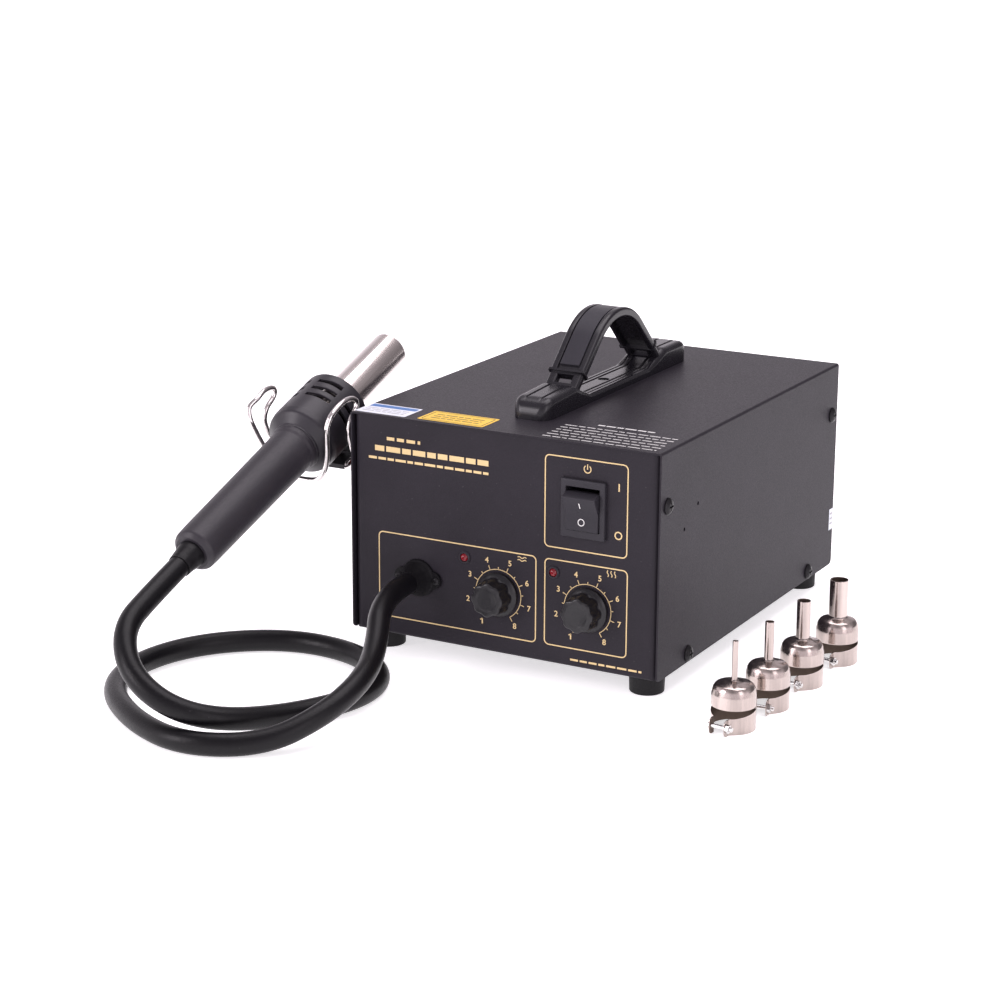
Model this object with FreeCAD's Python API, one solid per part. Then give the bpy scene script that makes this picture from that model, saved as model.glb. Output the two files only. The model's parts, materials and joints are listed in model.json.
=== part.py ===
"""Hot air rework station: steel case, pump and control, handpiece in its hanger, air hose, four nozzles.

Millimetres. Origin on the table under the middle of the case, X right, Y back, Z up.
"""
import FreeCAD
import Part
import math
import os

V = FreeCAD.Vector
Rotation = FreeCAD.Rotation
Placement = FreeCAD.Placement

# case
case_half_width = 93.5
case_half_depth = 122.5
case_bottom = 11.5
case_top = 135.0
sheet = 1.0
sheet_gap = 0.3
panel_half_width = case_half_width - sheet - sheet_gap
front_face = -121.5
rear_face = 121.5
panel_top = 133.7
front_bend = 4.5
side_screws = [(-114.0, 105.4), (-84.5, 16.5), (84.5, 16.5), (114.0, 105.4)]
spare_holes = [(-76.0, 97.8), (-92.8, 87.6)]
foot_centres = [(-80.0, -106.0), (80.0, -106.0), (-80.0, 106.0), (80.0, 106.0)]
pump_mounts = [(-68.0, 20.0), (-12.0, 20.0), (-68.0, 86.0), (-12.0, 86.0)]
board_posts = [(22.0, -76.0), (80.0, -76.0), (22.0, -8.0), (80.0, -8.0)]
rear_floor_screws = [(-60.0, 113.0), (60.0, 113.0)]

# front controls, as (x, z) on the panel
switch_centre = (49.25, 99.7)
air_centre = (-1.75, 44.9)
heater_centre = (51.9, 44.9)
air_lamp = (-22.4, 62.5)
heater_lamp = (31.7, 62.4)
gland_centre = (-51.3, 46.5)
gland_front = -133.0
gland_screw_offset = 11.6
rocker_pivot_y = -118.0
rocker_tilt = 13.0
shaft_radius = 3.0
running_gap = 0.05

# handle: strap of two straight legs and an arc
handle_middle = -2.0
strap_radius = 40.3
strap_thickness = 5.5
strap_top = 46.5
strap_angle = 43.0
strap_half_width = 10.5
base_half_width = 11.2

# handpiece frame: point on its axis, tilt of the axis above the horizontal
piece_origin = V(-133.0, -116.9, 109.1)
piece_tilt = 19.66
pipe_radius = 11.0
pipe_inner = 10.3
pipe_end = 105.8
pipe_held_radius = 10.7
head_front = 44.0
head_radius = 20.8
sleeve_end = -118.5

# hanger, in the handpiece frame: x across, s along the axis, h above it
wire_radius = 1.4
wire_shift = 1.0
wall_x = 39.5

# hose
hose_radius = 6.0

# nozzles: x, y, tube radius, direction of the clamp ears
nozzles = [
    (141.9, -133.5, 1.5, (-0.125, -0.992)),
    (145.0, -96.6, 2.4, (0.097, -0.995)),
    (147.1, -55.1, 3.65, (-0.093, -0.996)),
    (149.8, -11.0, 5.05, (-0.1, -0.995)),
]
nozzle_height = 46.5
nozzle_wall = 0.4
cup_radius = 11.7
cup_inner = 11.1
cup_height = 25.5
cup_wall_top = 18.7
ear_height = 8.7
clamp_screw_x = 14.5
clamp_screw_z = 4.5

os.makedirs("parts", exist_ok=True)


def save(name, *solids):
    """Write one node; several solids become one group."""
    shape = solids[0] if len(solids) == 1 else Part.makeCompound(list(solids))
    shape.exportStep("parts/" + name + ".step")
    print(name, len(shape.Solids), round(shape.Volume, 1), shape.isValid())


def box(x0, x1, y0, y1, z0, z1):
    return Part.makeBox(x1 - x0, y1 - y0, z1 - z0, V(x0, y0, z0))


def rod(radius, start, end):
    direction = end.sub(start)
    return Part.makeCylinder(radius, direction.Length, start, direction)


def ring(outer, inner, start, end):
    return rod(outer, start, end).cut(rod(inner, start, end))


def loop(points):
    """Closed wire through points; an entry ("arc", middle) bends the edge to the next point."""
    edges = []
    corners = [p for p in points if not isinstance(p, tuple)]
    arcs = {}
    index = -1
    for entry in points:
        if isinstance(entry, tuple):
            arcs[index] = entry[1]
        else:
            index += 1
    for i, start in enumerate(corners):
        end = corners[(i + 1) % len(corners)]
        if i in arcs:
            edges.append(Part.Arc(start, arcs[i], end).toShape())
        else:
            edges.append(Part.LineSegment(start, end).toShape())
    return Part.Wire(edges)


def prism(points, vector):
    return Part.Face(loop(points)).extrude(vector)


def spin(points):
    """Solid of revolution about Z from (radius, z) corners."""
    converted = []
    for p in points:
        if p[0] == "arc":
            converted.append(("arc", V(p[1][0], 0, p[1][1])))
        else:
            converted.append(V(p[0], 0, p[1]))
    return Part.Face(loop(converted)).revolve(V(0, 0, 0), V(0, 0, 1), 360)


def along(edge, axis):
    """True for a straight edge that runs along one axis."""
    size = edge.BoundBox
    lengths = [size.XLength, size.YLength, size.ZLength]
    others = [lengths[k] for k in range(3) if k != axis]
    return lengths[axis] > 0.5 and max(others) < 1e-4


def rounded(shape, radius, test):
    return shape.makeFillet(radius, [e for e in shape.Edges if test(e)])


def aim(shape, position, direction):
    """Turn a shape built along +Z to a direction and move it."""
    moved = shape.copy()
    turn = Placement(position, Rotation(V(0, 0, 1), direction))
    moved.Placement = turn.multiply(moved.Placement)
    return moved


def screw(head_radius, head_height, shank_radius, length):
    """Cross-head screw: head above z = 0, shank below."""
    top = head_height
    dome = spin([(0, 0), (head_radius, 0), (head_radius, top * 0.3),
                 ("arc", (head_radius * 0.7, top * 0.81)), (head_radius * 0.15, top), (0, top)])
    shank = rod(shank_radius, V(0, 0, -length), V(0, 0, 0.01))
    body = dome.fuse(shank).removeSplitter()
    wide = head_radius * 0.5
    thin = head_radius * 0.11
    depth = head_height * 0.45
    body = body.cut(box(-wide, wide, -thin, thin, top - depth, top + 1))
    return body.cut(box(-thin, thin, -wide, wide, top - depth, top + 1))


def hexagon(radius, height):
    corners = [V(radius * math.cos(math.radians(60 * k)), radius * math.sin(math.radians(60 * k)), 0)
               for k in range(6)]
    return prism(corners, V(0, 0, height))


def route(points, radii=None):
    """Straight runs joined by tangent arcs; returns the wire, the radii and the length."""
    edges = []
    used = []
    start = points[0]
    for i in range(1, len(points) - 1):
        before = points[i].sub(points[i - 1])
        after = points[i + 1].sub(points[i])
        shorter = min(before.Length, after.Length)
        before.normalize()
        after.normalize()
        half_turn = before.getAngle(after) / 2
        radius = 0.45 * shorter / math.tan(half_turn)
        if radii is not None:
            radius = min(radius, radii)
        tangent = radius * math.tan(half_turn)
        into = points[i].sub(before * tangent)
        out = points[i].add(after * tangent)
        inward = after.sub(before)
        inward.normalize()
        middle = points[i].add(inward * (radius / math.cos(half_turn) - radius))
        edges.append(Part.LineSegment(start, into).toShape())
        edges.append(Part.Arc(into, middle, out).toShape())
        used.append(radius)
        start = out
    edges.append(Part.LineSegment(start, points[-1]).toShape())
    wire = Part.Wire(edges)
    return wire, used, wire.Length


def tube(points, radius, radii=None):
    wire, used, length = route(points, radii)
    direction = points[1].sub(points[0])
    circle = Part.Wire(Part.Circle(points[0], direction, radius).toShape())
    solid = wire.makePipeShell([circle], True, False)
    return solid, used, length


def front(x, z, y=front_face):
    return V(x, y, z)


# ---------------------------------------------------------------- case
upright = V(0, 0, 1)
outward = V(0, -1, 0)


def cover_body():
    outer = box(-case_half_width, case_half_width, -case_half_depth, case_half_depth, case_bottom, case_top)
    outer = rounded(outer, 1.5, lambda e: along(e, 1) and e.BoundBox.ZMin > case_top - 0.1)
    inner = box(-case_half_width + sheet, case_half_width - sheet, -case_half_depth - 1,
                case_half_depth + 1, case_bottom - 1, case_top - sheet)
    inner = rounded(inner, 0.5, lambda e: along(e, 1) and e.BoundBox.ZMin > case_top - sheet - 0.1)
    shell = outer.cut(inner)
    shell = rounded(shell, 3.0, lambda e: along(e, 0) and e.BoundBox.ZMax < case_bottom + 0.1)
    for y, z in side_screws:
        shell = shell.cut(rod(1.7, V(-100, y, z), V(100, y, z)))
    for y, z in spare_holes:
        shell = shell.cut(rod(1.1, V(80, y, z), V(100, y, z)))
        shell = shell.cut(rod(1.6, V(-100, y, z), V(-80, y, z)))
    for y in (-78.0, handle_middle, 74.0):
        shell = shell.cut(rod(1.7, V(0, y, 130), V(0, y, 140)))
    return shell


def channel(near, far, bottom, radius):
    """Upright panel bent back at both sides, from y = near (the panel) to y = far."""
    low, high = min(near, far), max(near, far)
    step = sheet if near < far else -sheet
    outer = box(-panel_half_width, panel_half_width, low, high, bottom, panel_top)
    outer = rounded(outer, radius, lambda e: along(e, 2) and abs(e.BoundBox.YMin - near) < 0.1)
    inner_low = low + (sheet if near < far else -1)
    inner_high = high + (1 if near < far else -sheet)
    inner = box(-panel_half_width + sheet, panel_half_width - sheet, inner_low, inner_high,
                bottom - 1, panel_top + 1)
    inner = rounded(inner, radius - sheet, lambda e: along(e, 2) and abs(e.BoundBox.YMin - near - step) < 0.1)
    return outer.cut(inner)


def chassis_body():
    body = channel(front_face, -104.0, case_bottom, front_bend)
    outline = box(-panel_half_width, panel_half_width, front_face, rear_face, case_bottom, case_bottom + sheet)
    outline = rounded(outline, front_bend, lambda e: along(e, 2) and e.BoundBox.YMax < front_face + 0.1)
    body = body.fuse(outline)
    for side in (-1, 1):
        inner_x = side * (panel_half_width - sheet)
        outer_x = side * panel_half_width
        body = body.fuse(box(min(inner_x, outer_x), max(inner_x, outer_x), -104.0, 104.0, case_bottom, 24.0))
    body = body.removeSplitter()
    profile = box(-100, 100, front_face, rear_face, case_bottom, panel_top)
    profile = rounded(profile, 1.5, lambda e: along(e, 0) and e.BoundBox.YMax < front_face + 0.1
                      and e.BoundBox.ZMax < case_bottom + 0.1)
    body = body.common(profile)
    for y, z in side_screws:
        if y < 90:
            body = body.cut(rod(1.55, V(-100, y, z), V(100, y, z)))
    for x, y in foot_centres:
        body = body.cut(rod(1.6, V(x, y, 8), V(x, y, 20)))
    x, z = switch_centre
    body = body.cut(box(x - 11.3, x + 11.3, -125, -115, z - 13.7, z + 13.7))
    for x, z in (air_centre, heater_centre):
        body = body.cut(rod(4.7, front(x, z, -125), front(x, z, -115)))
    for x, z in (air_lamp, heater_lamp):
        body = body.cut(rod(3.05, front(x, z, -125), front(x, z, -115)))
    x, z = gland_centre
    body = body.cut(rod(7.1, front(x, z, -125), front(x, z, -115)))
    for offset in (-gland_screw_offset, gland_screw_offset):
        body = body.cut(rod(1.1, front(x + offset, z, -125), front(x + offset, z, -115)))
    for x, y in pump_mounts + board_posts + rear_floor_screws:
        body = body.cut(rod(1.6, V(x, y, 8), V(x, y, 20)))
    return body


save("cover", cover_body())
save("chassis", chassis_body())


def rear_body():
    body = channel(rear_face, 104.5, case_bottom + sheet, 3.0)
    body = body.fuse(box(-88.5, 88.5, 106.0, rear_face - 0.5, case_bottom + sheet, case_bottom + 2 * sheet))
    body = body.removeSplitter()
    for y, z in side_screws:
        if y > 90:
            body = body.cut(rod(1.55, V(-100, y, z), V(100, y, z)))
    for x, y in rear_floor_screws:
        body = body.cut(rod(1.55, V(x, y, 8), V(x, y, 20)))
    for x, y in foot_centres:
        body = body.cut(rod(1.6, V(x, y, 8), V(x, y, 20)))
    for k in range(9):
        x = -78.0 + 7.0 * k
        slot = box(x - 1.5, x + 1.5, 115, 125, 72.0, 112.0)
        slot = rounded(slot, 1.4, lambda e: along(e, 1))
        body = body.cut(slot)
    body = body.cut(box(38.0, 66.0, 115, 125, 34.0, 54.6))
    return body.cut(rod(6.1, V(18.0, 115, 44.0), V(18.0, 125, 44.0)))


save("rear_panel", rear_body())

side_heads = []
truss = screw(4.5, 2.3, 1.5, 7.0)
for y, z in side_screws:
    for side in (-1, 1):
        side_heads.append(aim(truss, V(side * case_half_width, y, z), V(side, 0, 0)))
save("cover_screws", *side_heads)

pan = screw(2.9, 1.9, 1.5, 6.0)
floor_heads = [aim(pan, V(x, y, case_bottom), V(0, 0, -1)) for x, y in rear_floor_screws]
save("rear_panel_screws", *floor_heads)

foot = spin([(1.7, 5.0), (4.2, 5.0), (4.2, 0), (8.6, 0), ("arc", (9.15, 0.25)), (9.4, 0.8), (9.8, case_bottom),
             (1.7, case_bottom)])
save("rubber_feet", *[aim(foot, V(x, y, 0), upright) for x, y in foot_centres])
foot_screw = screw(3.6, 2.2, 1.5, 10.0)
save("foot_screws", *[aim(foot_screw, V(x, y, 5.0), V(0, 0, -1)) for x, y in foot_centres])


# ---------------------------------------------------------------- handle
def band(outer, inner, half_width, leg):
    """Strap between two radii, with straight legs of one length at both ends."""
    centre_height = case_top + strap_top - strap_radius
    angle = math.radians(strap_angle)
    sin, cos = math.sin(angle), math.cos(angle)

    def corner(radius, side, distance):
        y = handle_middle + side * (radius * sin + distance * cos)
        z = centre_height + radius * cos - distance * sin
        return V(-half_width, y, z)

    def crown(radius):
        return V(-half_width, handle_middle, centre_height + radius)

    points = [corner(outer, -1, leg), corner(outer, -1, 0), ("arc", crown(outer)), corner(outer, 1, 0),
              corner(outer, 1, leg), corner(inner, 1, leg), corner(inner, 1, 0), ("arc", crown(inner)),
              corner(inner, -1, 0), corner(inner, -1, leg)]
    return prism(points, V(2 * half_width, 0, 0))


def grip_body():
    inner = strap_radius - strap_thickness
    body = band(strap_radius, inner, strap_half_width, 43.0)
    body = rounded(body, 1.2, lambda e: abs(abs(e.BoundBox.XMin) - strap_half_width) < 0.01
                   and e.BoundBox.XLength < 0.01 and e.BoundBox.ZLength > 8)
    collar = band(strap_radius + 0.8, inner - 0.6, strap_half_width + 0.6, 25.8)
    collar = collar.cut(band(strap_radius + 2, inner - 2, strap_half_width + 2, 21.4))
    body = body.fuse(collar)
    body = body.cut(band(strap_radius + 2, strap_radius - 1.3, 6.6, 21.0))
    body = body.cut(band(strap_radius - 3.3, inner - 2, 7.6, 19.0))
    slots = band(strap_radius + 2, inner - 2, 4.4, 33.0)
    slots = slots.cut(band(strap_radius + 3, inner - 3, 6, 27.0))
    return body.cut(slots)


def base_body():
    outline = [V(-base_half_width, y, case_top + h) for y, h in
               [(-92.0, 0), (-92.0, 5.0), (-87.0, 10.6), (-57.0, 12.5), (-39.0, 4.6), (36.0, 4.6),
                (57.0, 12.6), (84.0, 12.6), (88.0, 9.0), (88.0, 0)]]
    body = prism(outline, V(2 * base_half_width, 0, 0))
    body = rounded(body, 5.0, lambda e: along(e, 2) and e.BoundBox.ZMin < case_top + 0.1)
    top_edges = [e for e in body.Edges if abs(abs(e.BoundBox.XMin) - base_half_width) < 0.01
                 and e.BoundBox.XLength < 0.01 and e.BoundBox.ZMin > case_top + 4]
    body = body.makeFillet(1.6, [e for e in top_edges if e.BoundBox.ZMax < case_top + 4.7])
    body = body.cut(band(strap_radius + 0.05, strap_radius - strap_thickness - 0.05, strap_half_width + 0.05, 43.05))
    for x in (-4.6, 4.6):
        body = body.cut(box(x - 0.7, x + 0.7, -37.0, 34.0, case_top + 3.6, case_top + 6))
        body = body.cut(box(x - 0.5, x + 0.5, -86.0, -61.0, case_top + 10.2, case_top + 14))
    body = body.cut(rod(3.3, V(0, handle_middle, case_top + 2.6), V(0, handle_middle, case_top + 8)))
    body = body.cut(rod(1.5, V(0, handle_middle, case_top - 1), V(0, handle_middle, case_top + 8)))
    for y in (-78.0, 74.0):
        body = body.cut(rod(1.45, V(0, y, case_top - 1), V(0, y, case_top + 8)))
    return body


save("handle_base", base_body())
save("handle_grip", grip_body())
save("handle_strip", band(strap_radius - 0.2, strap_radius - 1.25, 5.9, 20.8))
handle_screw = screw(2.9, 1.6, 1.4, 7.5)
under_screw = screw(2.9, 1.6, 1.4, 8.5)
save("handle_screws",
     aim(handle_screw, V(0, handle_middle, case_top + 2.6), upright),
     aim(under_screw, V(0, -78.0, case_top - sheet), V(0, 0, -1)),
     aim(under_screw, V(0, 74.0, case_top - sheet), V(0, 0, -1)))


# ---------------------------------------------------------------- power switch
def switch_body():
    x, z = switch_centre
    bezel = box(x - 12.9, x + 12.9, -124.0, front_face, z - 15.8, z + 15.8)
    bezel = rounded(bezel, 0.8, lambda e: along(e, 1) or e.BoundBox.YMax < -123.9)
    body = bezel.fuse(box(x - 11.1, x + 11.1, front_face, -100.0, z - 13.5, z + 13.5)).removeSplitter()
    body = body.cut(box(x - 9.9, x + 9.9, -125.0, -105.0, z - 11.8, z + 11.8))
    return body.cut(rod(1.25, V(x - 10.7, rocker_pivot_y, z), V(x + 10.7, rocker_pivot_y, z)))


def rocker_body():
    x, z = switch_centre
    profile = [(-7.2, 0), (-9.6, 9.6), (-4.4, 10.5), (1.5, 8.5), (6.0, 2.5), (6.0, -2.5), (1.5, -8.5),
               (-4.4, -10.5), (-9.6, -9.6)]
    points = [V(x - 9.6, rocker_pivot_y + py, z + pz) for py, pz in profile]
    body = prism(points, V(19.2, 0, 0))
    body = rounded(body, 0.6, lambda e: along(e, 0) and e.BoundBox.YMax < rocker_pivot_y - 9)
    body = body.fuse(rod(1.2, V(x - 10.5, rocker_pivot_y, z), V(x + 10.5, rocker_pivot_y, z))).removeSplitter()
    body.rotate(V(x, rocker_pivot_y, z), V(1, 0, 0), rocker_tilt)
    return body


save("switch_housing", switch_body())
save("switch_rocker", rocker_body())
blades = []
for dx in (-5.5, 5.5):
    for dz in (-8.0, 8.0):
        bx, bz = switch_centre[0] + dx, switch_centre[1] + dz
        blades.append(box(bx - 0.4, bx + 0.4, -100.0, -91.0, bz - 2.4, bz + 2.4))
save("switch_terminals", *blades)


# ---------------------------------------------------------------- dials
def knob_body():
    """Fluted knob along +Z, its skirt's base at z = 0."""
    body = spin([(0, 0), (12.2, 0), (12.2, 1.2), ("arc", (11.5, 3.0)), (10.1, 3.9), (9.5, 12.4),
                 ("arc", (9.2, 13.0)), (8.5, 13.3), (0, 13.3)])
    for k in range(8):
        angle = math.radians(22.5 + 45 * k)
        centre = V(11.6 * math.cos(angle), 11.6 * math.sin(angle), 4.3)
        body = body.cut(rod(2.7, centre, centre.add(V(0, 0, 12))))
    body = body.cut(rod(5.0, V(0, 0, 12.3), V(0, 0, 15)))
    body = body.cut(rod(7.3, V(0, 0, -1), V(0, 0, 3.2)))
    return body.cut(rod(shaft_radius + 0.02, V(0, 0, 0), V(0, 0, 10.0)))


def bushing(x, z, rear):
    """Threaded bush through the panel, from y = -125.0 back to the device."""
    return rod(4.5, front(x, z, -124.6), front(x, z, rear))


knob = knob_body()
save("air_knob", aim(knob, front(air_centre[0], air_centre[1], -122.1), outward))
save("heater_knob", aim(knob, front(heater_centre[0], heater_centre[1], -122.1), outward))

nuts = []
for x, z in (air_centre, heater_centre):
    nut = aim(hexagon(6.6, 2.0), front(x, z, front_face), outward)
    nuts.append(nut.cut(rod(4.55, front(x, z, -125), front(x, z, -120))))
save("panel_nuts", *nuts)

x, z = air_centre
valve = rod(11.0, front(x, z, -119.5), front(x, z, -96.0))
valve = valve.fuse(bushing(x, z, -119.0))
valve = valve.fuse(rod(3.4, front(x, z, -96.5), front(x, z, -88.0)))
valve = valve.fuse(rod(3.4, V(x - 10.0, -103.0, z), V(x - 19.0, -103.0, z))).removeSplitter()
valve = valve.cut(rod(shaft_radius + running_gap, front(x, z, -126), front(x, z, -108.0)))
valve = valve.cut(rod(2.2, front(x, z, -106), front(x, z, -87.0)))
valve = valve.cut(rod(2.2, V(x, -103.0, z), V(x - 20.0, -103.0, z)))
save("air_valve_body", valve)
save("air_valve_shaft", rod(shaft_radius, front(x, z, -132.0), front(x, z, -108.4)))

x, z = heater_centre
pot = rod(12.0, front(x, z, -119.5), front(x, z, -108.0))
pot = pot.fuse(bushing(x, z, -119.0)).removeSplitter()
pot = pot.cut(rod(shaft_radius + running_gap, front(x, z, -126), front(x, z, -110.0)))
for dx in (-5.0, 0.0, 5.0):
    pot = pot.fuse(box(x + dx - 1.0, x + dx + 1.0, -111.0, -110.0, z - 18.0, z - 10.5))
save("heater_potentiometer", pot)
save("potentiometer_shaft", rod(shaft_radius, front(x, z, -132.0), front(x, z, -110.4)))

# ---------------------------------------------------------------- lamps
lens = spin([(0, 0), (2.4, 0), (2.4, 8.6), ("arc", (1.8, 10.2)), (0.7, 10.9), (0, 10.9)])
holder = spin([(2.45, 0), (3.0, 0), (3.0, 5.0), (3.4, 5.0), (3.4, 5.6), (2.9, 6.1), (2.45, 6.1)])
lamps = (air_lamp, heater_lamp)
save("indicator_lamps", *[aim(lens, front(lamp[0], lamp[1], -112.6), outward) for lamp in lamps])
save("lamp_holders", *[aim(holder, front(lamp[0], lamp[1], -116.5), outward) for lamp in lamps])

# ---------------------------------------------------------------- hose gland
x, z = gland_centre
flange = box(x - 15.2, x + 15.2, -123.2, front_face, z - 6.0, z + 6.0)
flange = rounded(flange, 5.0, lambda e: along(e, 1))
gland = flange.fuse(rod(10.4, front(x, z, front_face), front(x, z, -123.2)))
collar = aim(spin([(0, 0), (9.5, 0), (9.5, 10.4), ("arc", (9.2, 11.2)), (8.4, 11.5), (0, 11.5)]),
             front(x, z, front_face), outward)
gland = gland.fuse(collar)
gland = gland.fuse(rod(7.0, front(x, z, front_face - 0.1), front(x, z, -116.0)))
gland = gland.fuse(rod(3.4, front(x, z, -116.1), front(x, z, -109.0))).removeSplitter()
gland = gland.cut(rod(2.2, front(x, z, -134), front(x, z, -108)))
for offset in (-gland_screw_offset, gland_screw_offset):
    gland = gland.cut(rod(1.2, front(x + offset, z, -125), front(x + offset, z, -115)))
save("hose_gland", gland)
small = screw(2.1, 1.2, 1.0, 6.0)
save("gland_screws", *[aim(small, front(x + offset, z, -123.2), outward)
                       for offset in (-gland_screw_offset, gland_screw_offset)])


# ---------------------------------------------------------------- air pump and tubes
def pump_body():
    body = box(-78.0, -2.0, 12.0, 94.0, 20.0, 66.0)
    body = rounded(body, 6.0, lambda e: along(e, 2))
    body = body.fuse(rod(26.0, V(-40, 53, 65.5), V(-40, 53, 84.0)))
    body = body.fuse(rod(3.4, V(-20, 12.5, 50.0), V(-20, 3.0, 50.0))).removeSplitter()
    body = rounded(body, 2.5, lambda e: abs(e.BoundBox.ZMin - 84.0) < 0.1)
    body = body.cut(rod(2.2, V(-20, 30, 50.0), V(-20, 2.0, 50.0)))
    for x, y in pump_mounts:
        body = body.cut(rod(2.1, V(x, y, 19), V(x, y, 28)))
    return body


save("air_pump", pump_body())
coil = ring(24.0, 12.0, V(-40, 53, 84.0), V(-40, 53, 104.0))
save("pump_coil", rounded(coil, 2.0, lambda e: e.BoundBox.ZLength < 0.1))
mount = spin([(0, 0), (7.0, 0), (5.2, 2.5), (5.2, 5.0), (7.0, 7.5), (2.0, 7.5), (2.0, 13.5), (0, 13.5)])
save("pump_mounts", *[aim(mount, V(x, y, case_bottom + sheet), upright) for x, y in pump_mounts])

supply_route = [V(air_centre[0], -88.0, air_centre[1]), V(air_centre[0], -58.0, air_centre[1]),
                V(-20.0, -28.0, 50.0), V(-20.0, 3.0, 50.0)]
supply_tube = tube(supply_route, 3.4, 30.0)[0]
outlet_route = [V(air_centre[0] - 19.0, -103.0, air_centre[1]), V(-34.0, -103.0, air_centre[1]),
                V(-40.0, -92.0, 46.0), V(gland_centre[0], -88.0, gland_centre[1]),
                V(gland_centre[0], -109.0, gland_centre[1])]
outlet_tube = tube(outlet_route, 3.0, 9.0)[0]
save("inner_tubes", supply_tube, outlet_tube)


# ---------------------------------------------------------------- control board
board = box(16.0, 86.0, -82.0, -2.0, 26.0, 27.6)
for x, y in board_posts:
    board = board.cut(rod(1.6, V(x, y, 20), V(x, y, 30)))
save("control_board", board)
post = spin([(0, 0), (3.0, 0), (3.0, 13.5), (1.5, 13.5), (1.5, 17.5), (0, 17.5)])
save("board_standoffs", *[aim(post, V(x, y, case_bottom + sheet), upright) for x, y in board_posts])

core = box(28.0, 58.0, -30.0, -6.0, 27.6, 52.0).cut(box(33.0, 38.5, -31, -5, 32.5, 47.0))
core = core.cut(box(47.5, 53.0, -31, -5, 32.5, 47.0))
save("transformer_core", core)
winding = box(33.4, 52.6, -34.0, -2.5, 33.0, 46.6).cut(box(38.3, 47.7, -30.2, -5.8, 31, 49))
save("transformer_winding", winding)

sink = box(68.0, 70.5, -60.0, -24.0, 27.6, 62.0)
for k in range(6):
    y = -58.5 + 6.6 * k
    sink = sink.fuse(box(70.4, 80.0, y - 0.6, y + 0.6, 27.6, 62.0))
save("heat_sink", sink.removeSplitter())
triac = box(63.4, 68.0, -47.0, -37.0, 38.0, 54.0)
for k in range(3):
    triac = triac.fuse(box(65.2, 65.9, -44.9 + 2.54 * k, -44.2 + 2.54 * k, 27.6, 38.5))
save("triac", triac.removeSplitter())
can = spin([(0, 0), (4.0, 0), (4.0, 1.4), (3.7, 1.8), (4.0, 2.2), (4.0, 13.2), (3.6, 13.6), (0, 13.6)])
save("capacitors", *[aim(can, V(x, y, 27.6), upright) for x, y in [(26.0, -62.0), (37.0, -62.0), (48.0, -62.0)]])


# ---------------------------------------------------------------- mains inlet and fuse
def inlet_body():
    plate = box(35.0, 69.0, rear_face, 124.0, 31.5, 57.0)
    plate = rounded(plate, 2.5, lambda e: along(e, 1))
    body = plate.fuse(box(38.1, 65.9, 98.0, rear_face, 34.1, 54.5)).removeSplitter()
    cavity = box(40.0, 64.0, 106.0, 125.0, 36.3, 52.3)
    cavity = rounded(cavity, 3.5, lambda e: along(e, 1) and e.BoundBox.ZMin < 40)
    body = body.cut(cavity)
    for x, z in ((45.0, 43.3), (59.0, 43.3), (52.0, 47.3)):
        body = body.cut(box(x - 1.05, x + 1.05, 90.0, 110.0, z - 2.05, z + 2.05))
    return body


save("power_inlet", inlet_body())
save("inlet_pins", *[box(x - 1.0, x + 1.0, 92.0, 121.5, z - 2.0, z + 2.0)
                     for x, z in ((45.0, 43.3), (59.0, 43.3), (52.0, 47.3))])
fuse = spin([(0, 0), (6.0, 0), (6.0, 25.0), (8.0, 25.0), (8.0, 27.0), (6.5, 27.0), (6.2, 33.0), (0, 33.0)])
fuse = fuse.cut(box(-4.0, 4.0, -0.6, 0.6, 31.8, 34))
save("fuse_holder", aim(fuse, V(18.0, rear_face - 25.0, 44.0), V(0, 1, 0)))


# ---------------------------------------------------------------- handpiece
piece_frame = Placement(piece_origin, Rotation(V(1, 0, 0), piece_tilt))
piece_axis_frame = piece_frame.multiply(Placement(V(0, 0, 0), Rotation(V(1, 0, 0), -90)))


def to_piece(shape):
    """From (x, s, h) coordinates to the row frame."""
    moved = shape.copy()
    moved.Placement = piece_frame.multiply(moved.Placement)
    return moved


def turned(points):
    """Revolved piece of the handpiece from (radius, s) corners."""
    moved = spin(points)
    moved.Placement = piece_axis_frame
    return moved


def head_body():
    shell = spin([(14.3, -1.0), ("arc", (17.1, 0.6)), (19.3, 2.9), ("arc", (20.5, 4.9)), (head_radius, 7.2),
                  (head_radius, 42.0), ("arc", (20.2, 43.4)), (18.8, head_front), (10.85, head_front), (10.85, 42.2),
                  (18.9, 42.2), (18.9, 7.4), (17.2, 4.2), (14.6, 1.6), (11.2, 1.0), (11.2, -1.0)])
    for s in (22.8, 29.6, 36.7):
        for k in range(6):
            sector = Part.Face(loop([V(17.5, 0, s - 1.5), V(23.0, 0, s - 1.5), V(23.0, 0, s + 1.5),
                                     V(17.5, 0, s + 1.5)])).revolve(V(0, 0, 0), V(0, 0, 1), 45)
            sector.rotate(V(0, 0, 0), V(0, 0, 1), 30 + 60 * k - 22.5)
            shell = shell.cut(sector)
    shell.Placement = piece_axis_frame
    return shell


save("handpiece_head", head_body())
save("handpiece_grip", turned([
    (7.6, -106.5), (9.4, -106.5), ("arc", (11.4, -105.6)), (12.2, -103.6), (13.5, -6.0), ("arc", (14.1, -3.6)),
    (14.3, -1.0), (11.3, -1.0), (11.0, -8.0), (10.0, -102.0), (7.6, -104.0)]))
save("heater_pipe", turned([
    (pipe_inner, 14.0), (pipe_held_radius, 14.0), (pipe_held_radius, head_front), (pipe_radius, head_front),
    (pipe_radius, pipe_end), (pipe_inner, pipe_end)]))
save("insulating_sleeve", turned([(9.7, 16.0), (10.25, 16.0), (10.25, 96.0), (9.7, 96.0)]))


def heater_former():
    """Ceramic former with four round air channels."""
    body = rod(7.4, V(0, 0, 16.0), V(0, 0, 92.0))
    for k in range(4):
        angle = math.radians(45 + 90 * k)
        centre = V(4.2 * math.cos(angle), 4.2 * math.sin(angle), 15)
        body = body.cut(rod(1.6, centre, centre.add(V(0, 0, 80))))
    body.Placement = piece_axis_frame
    return body


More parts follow.
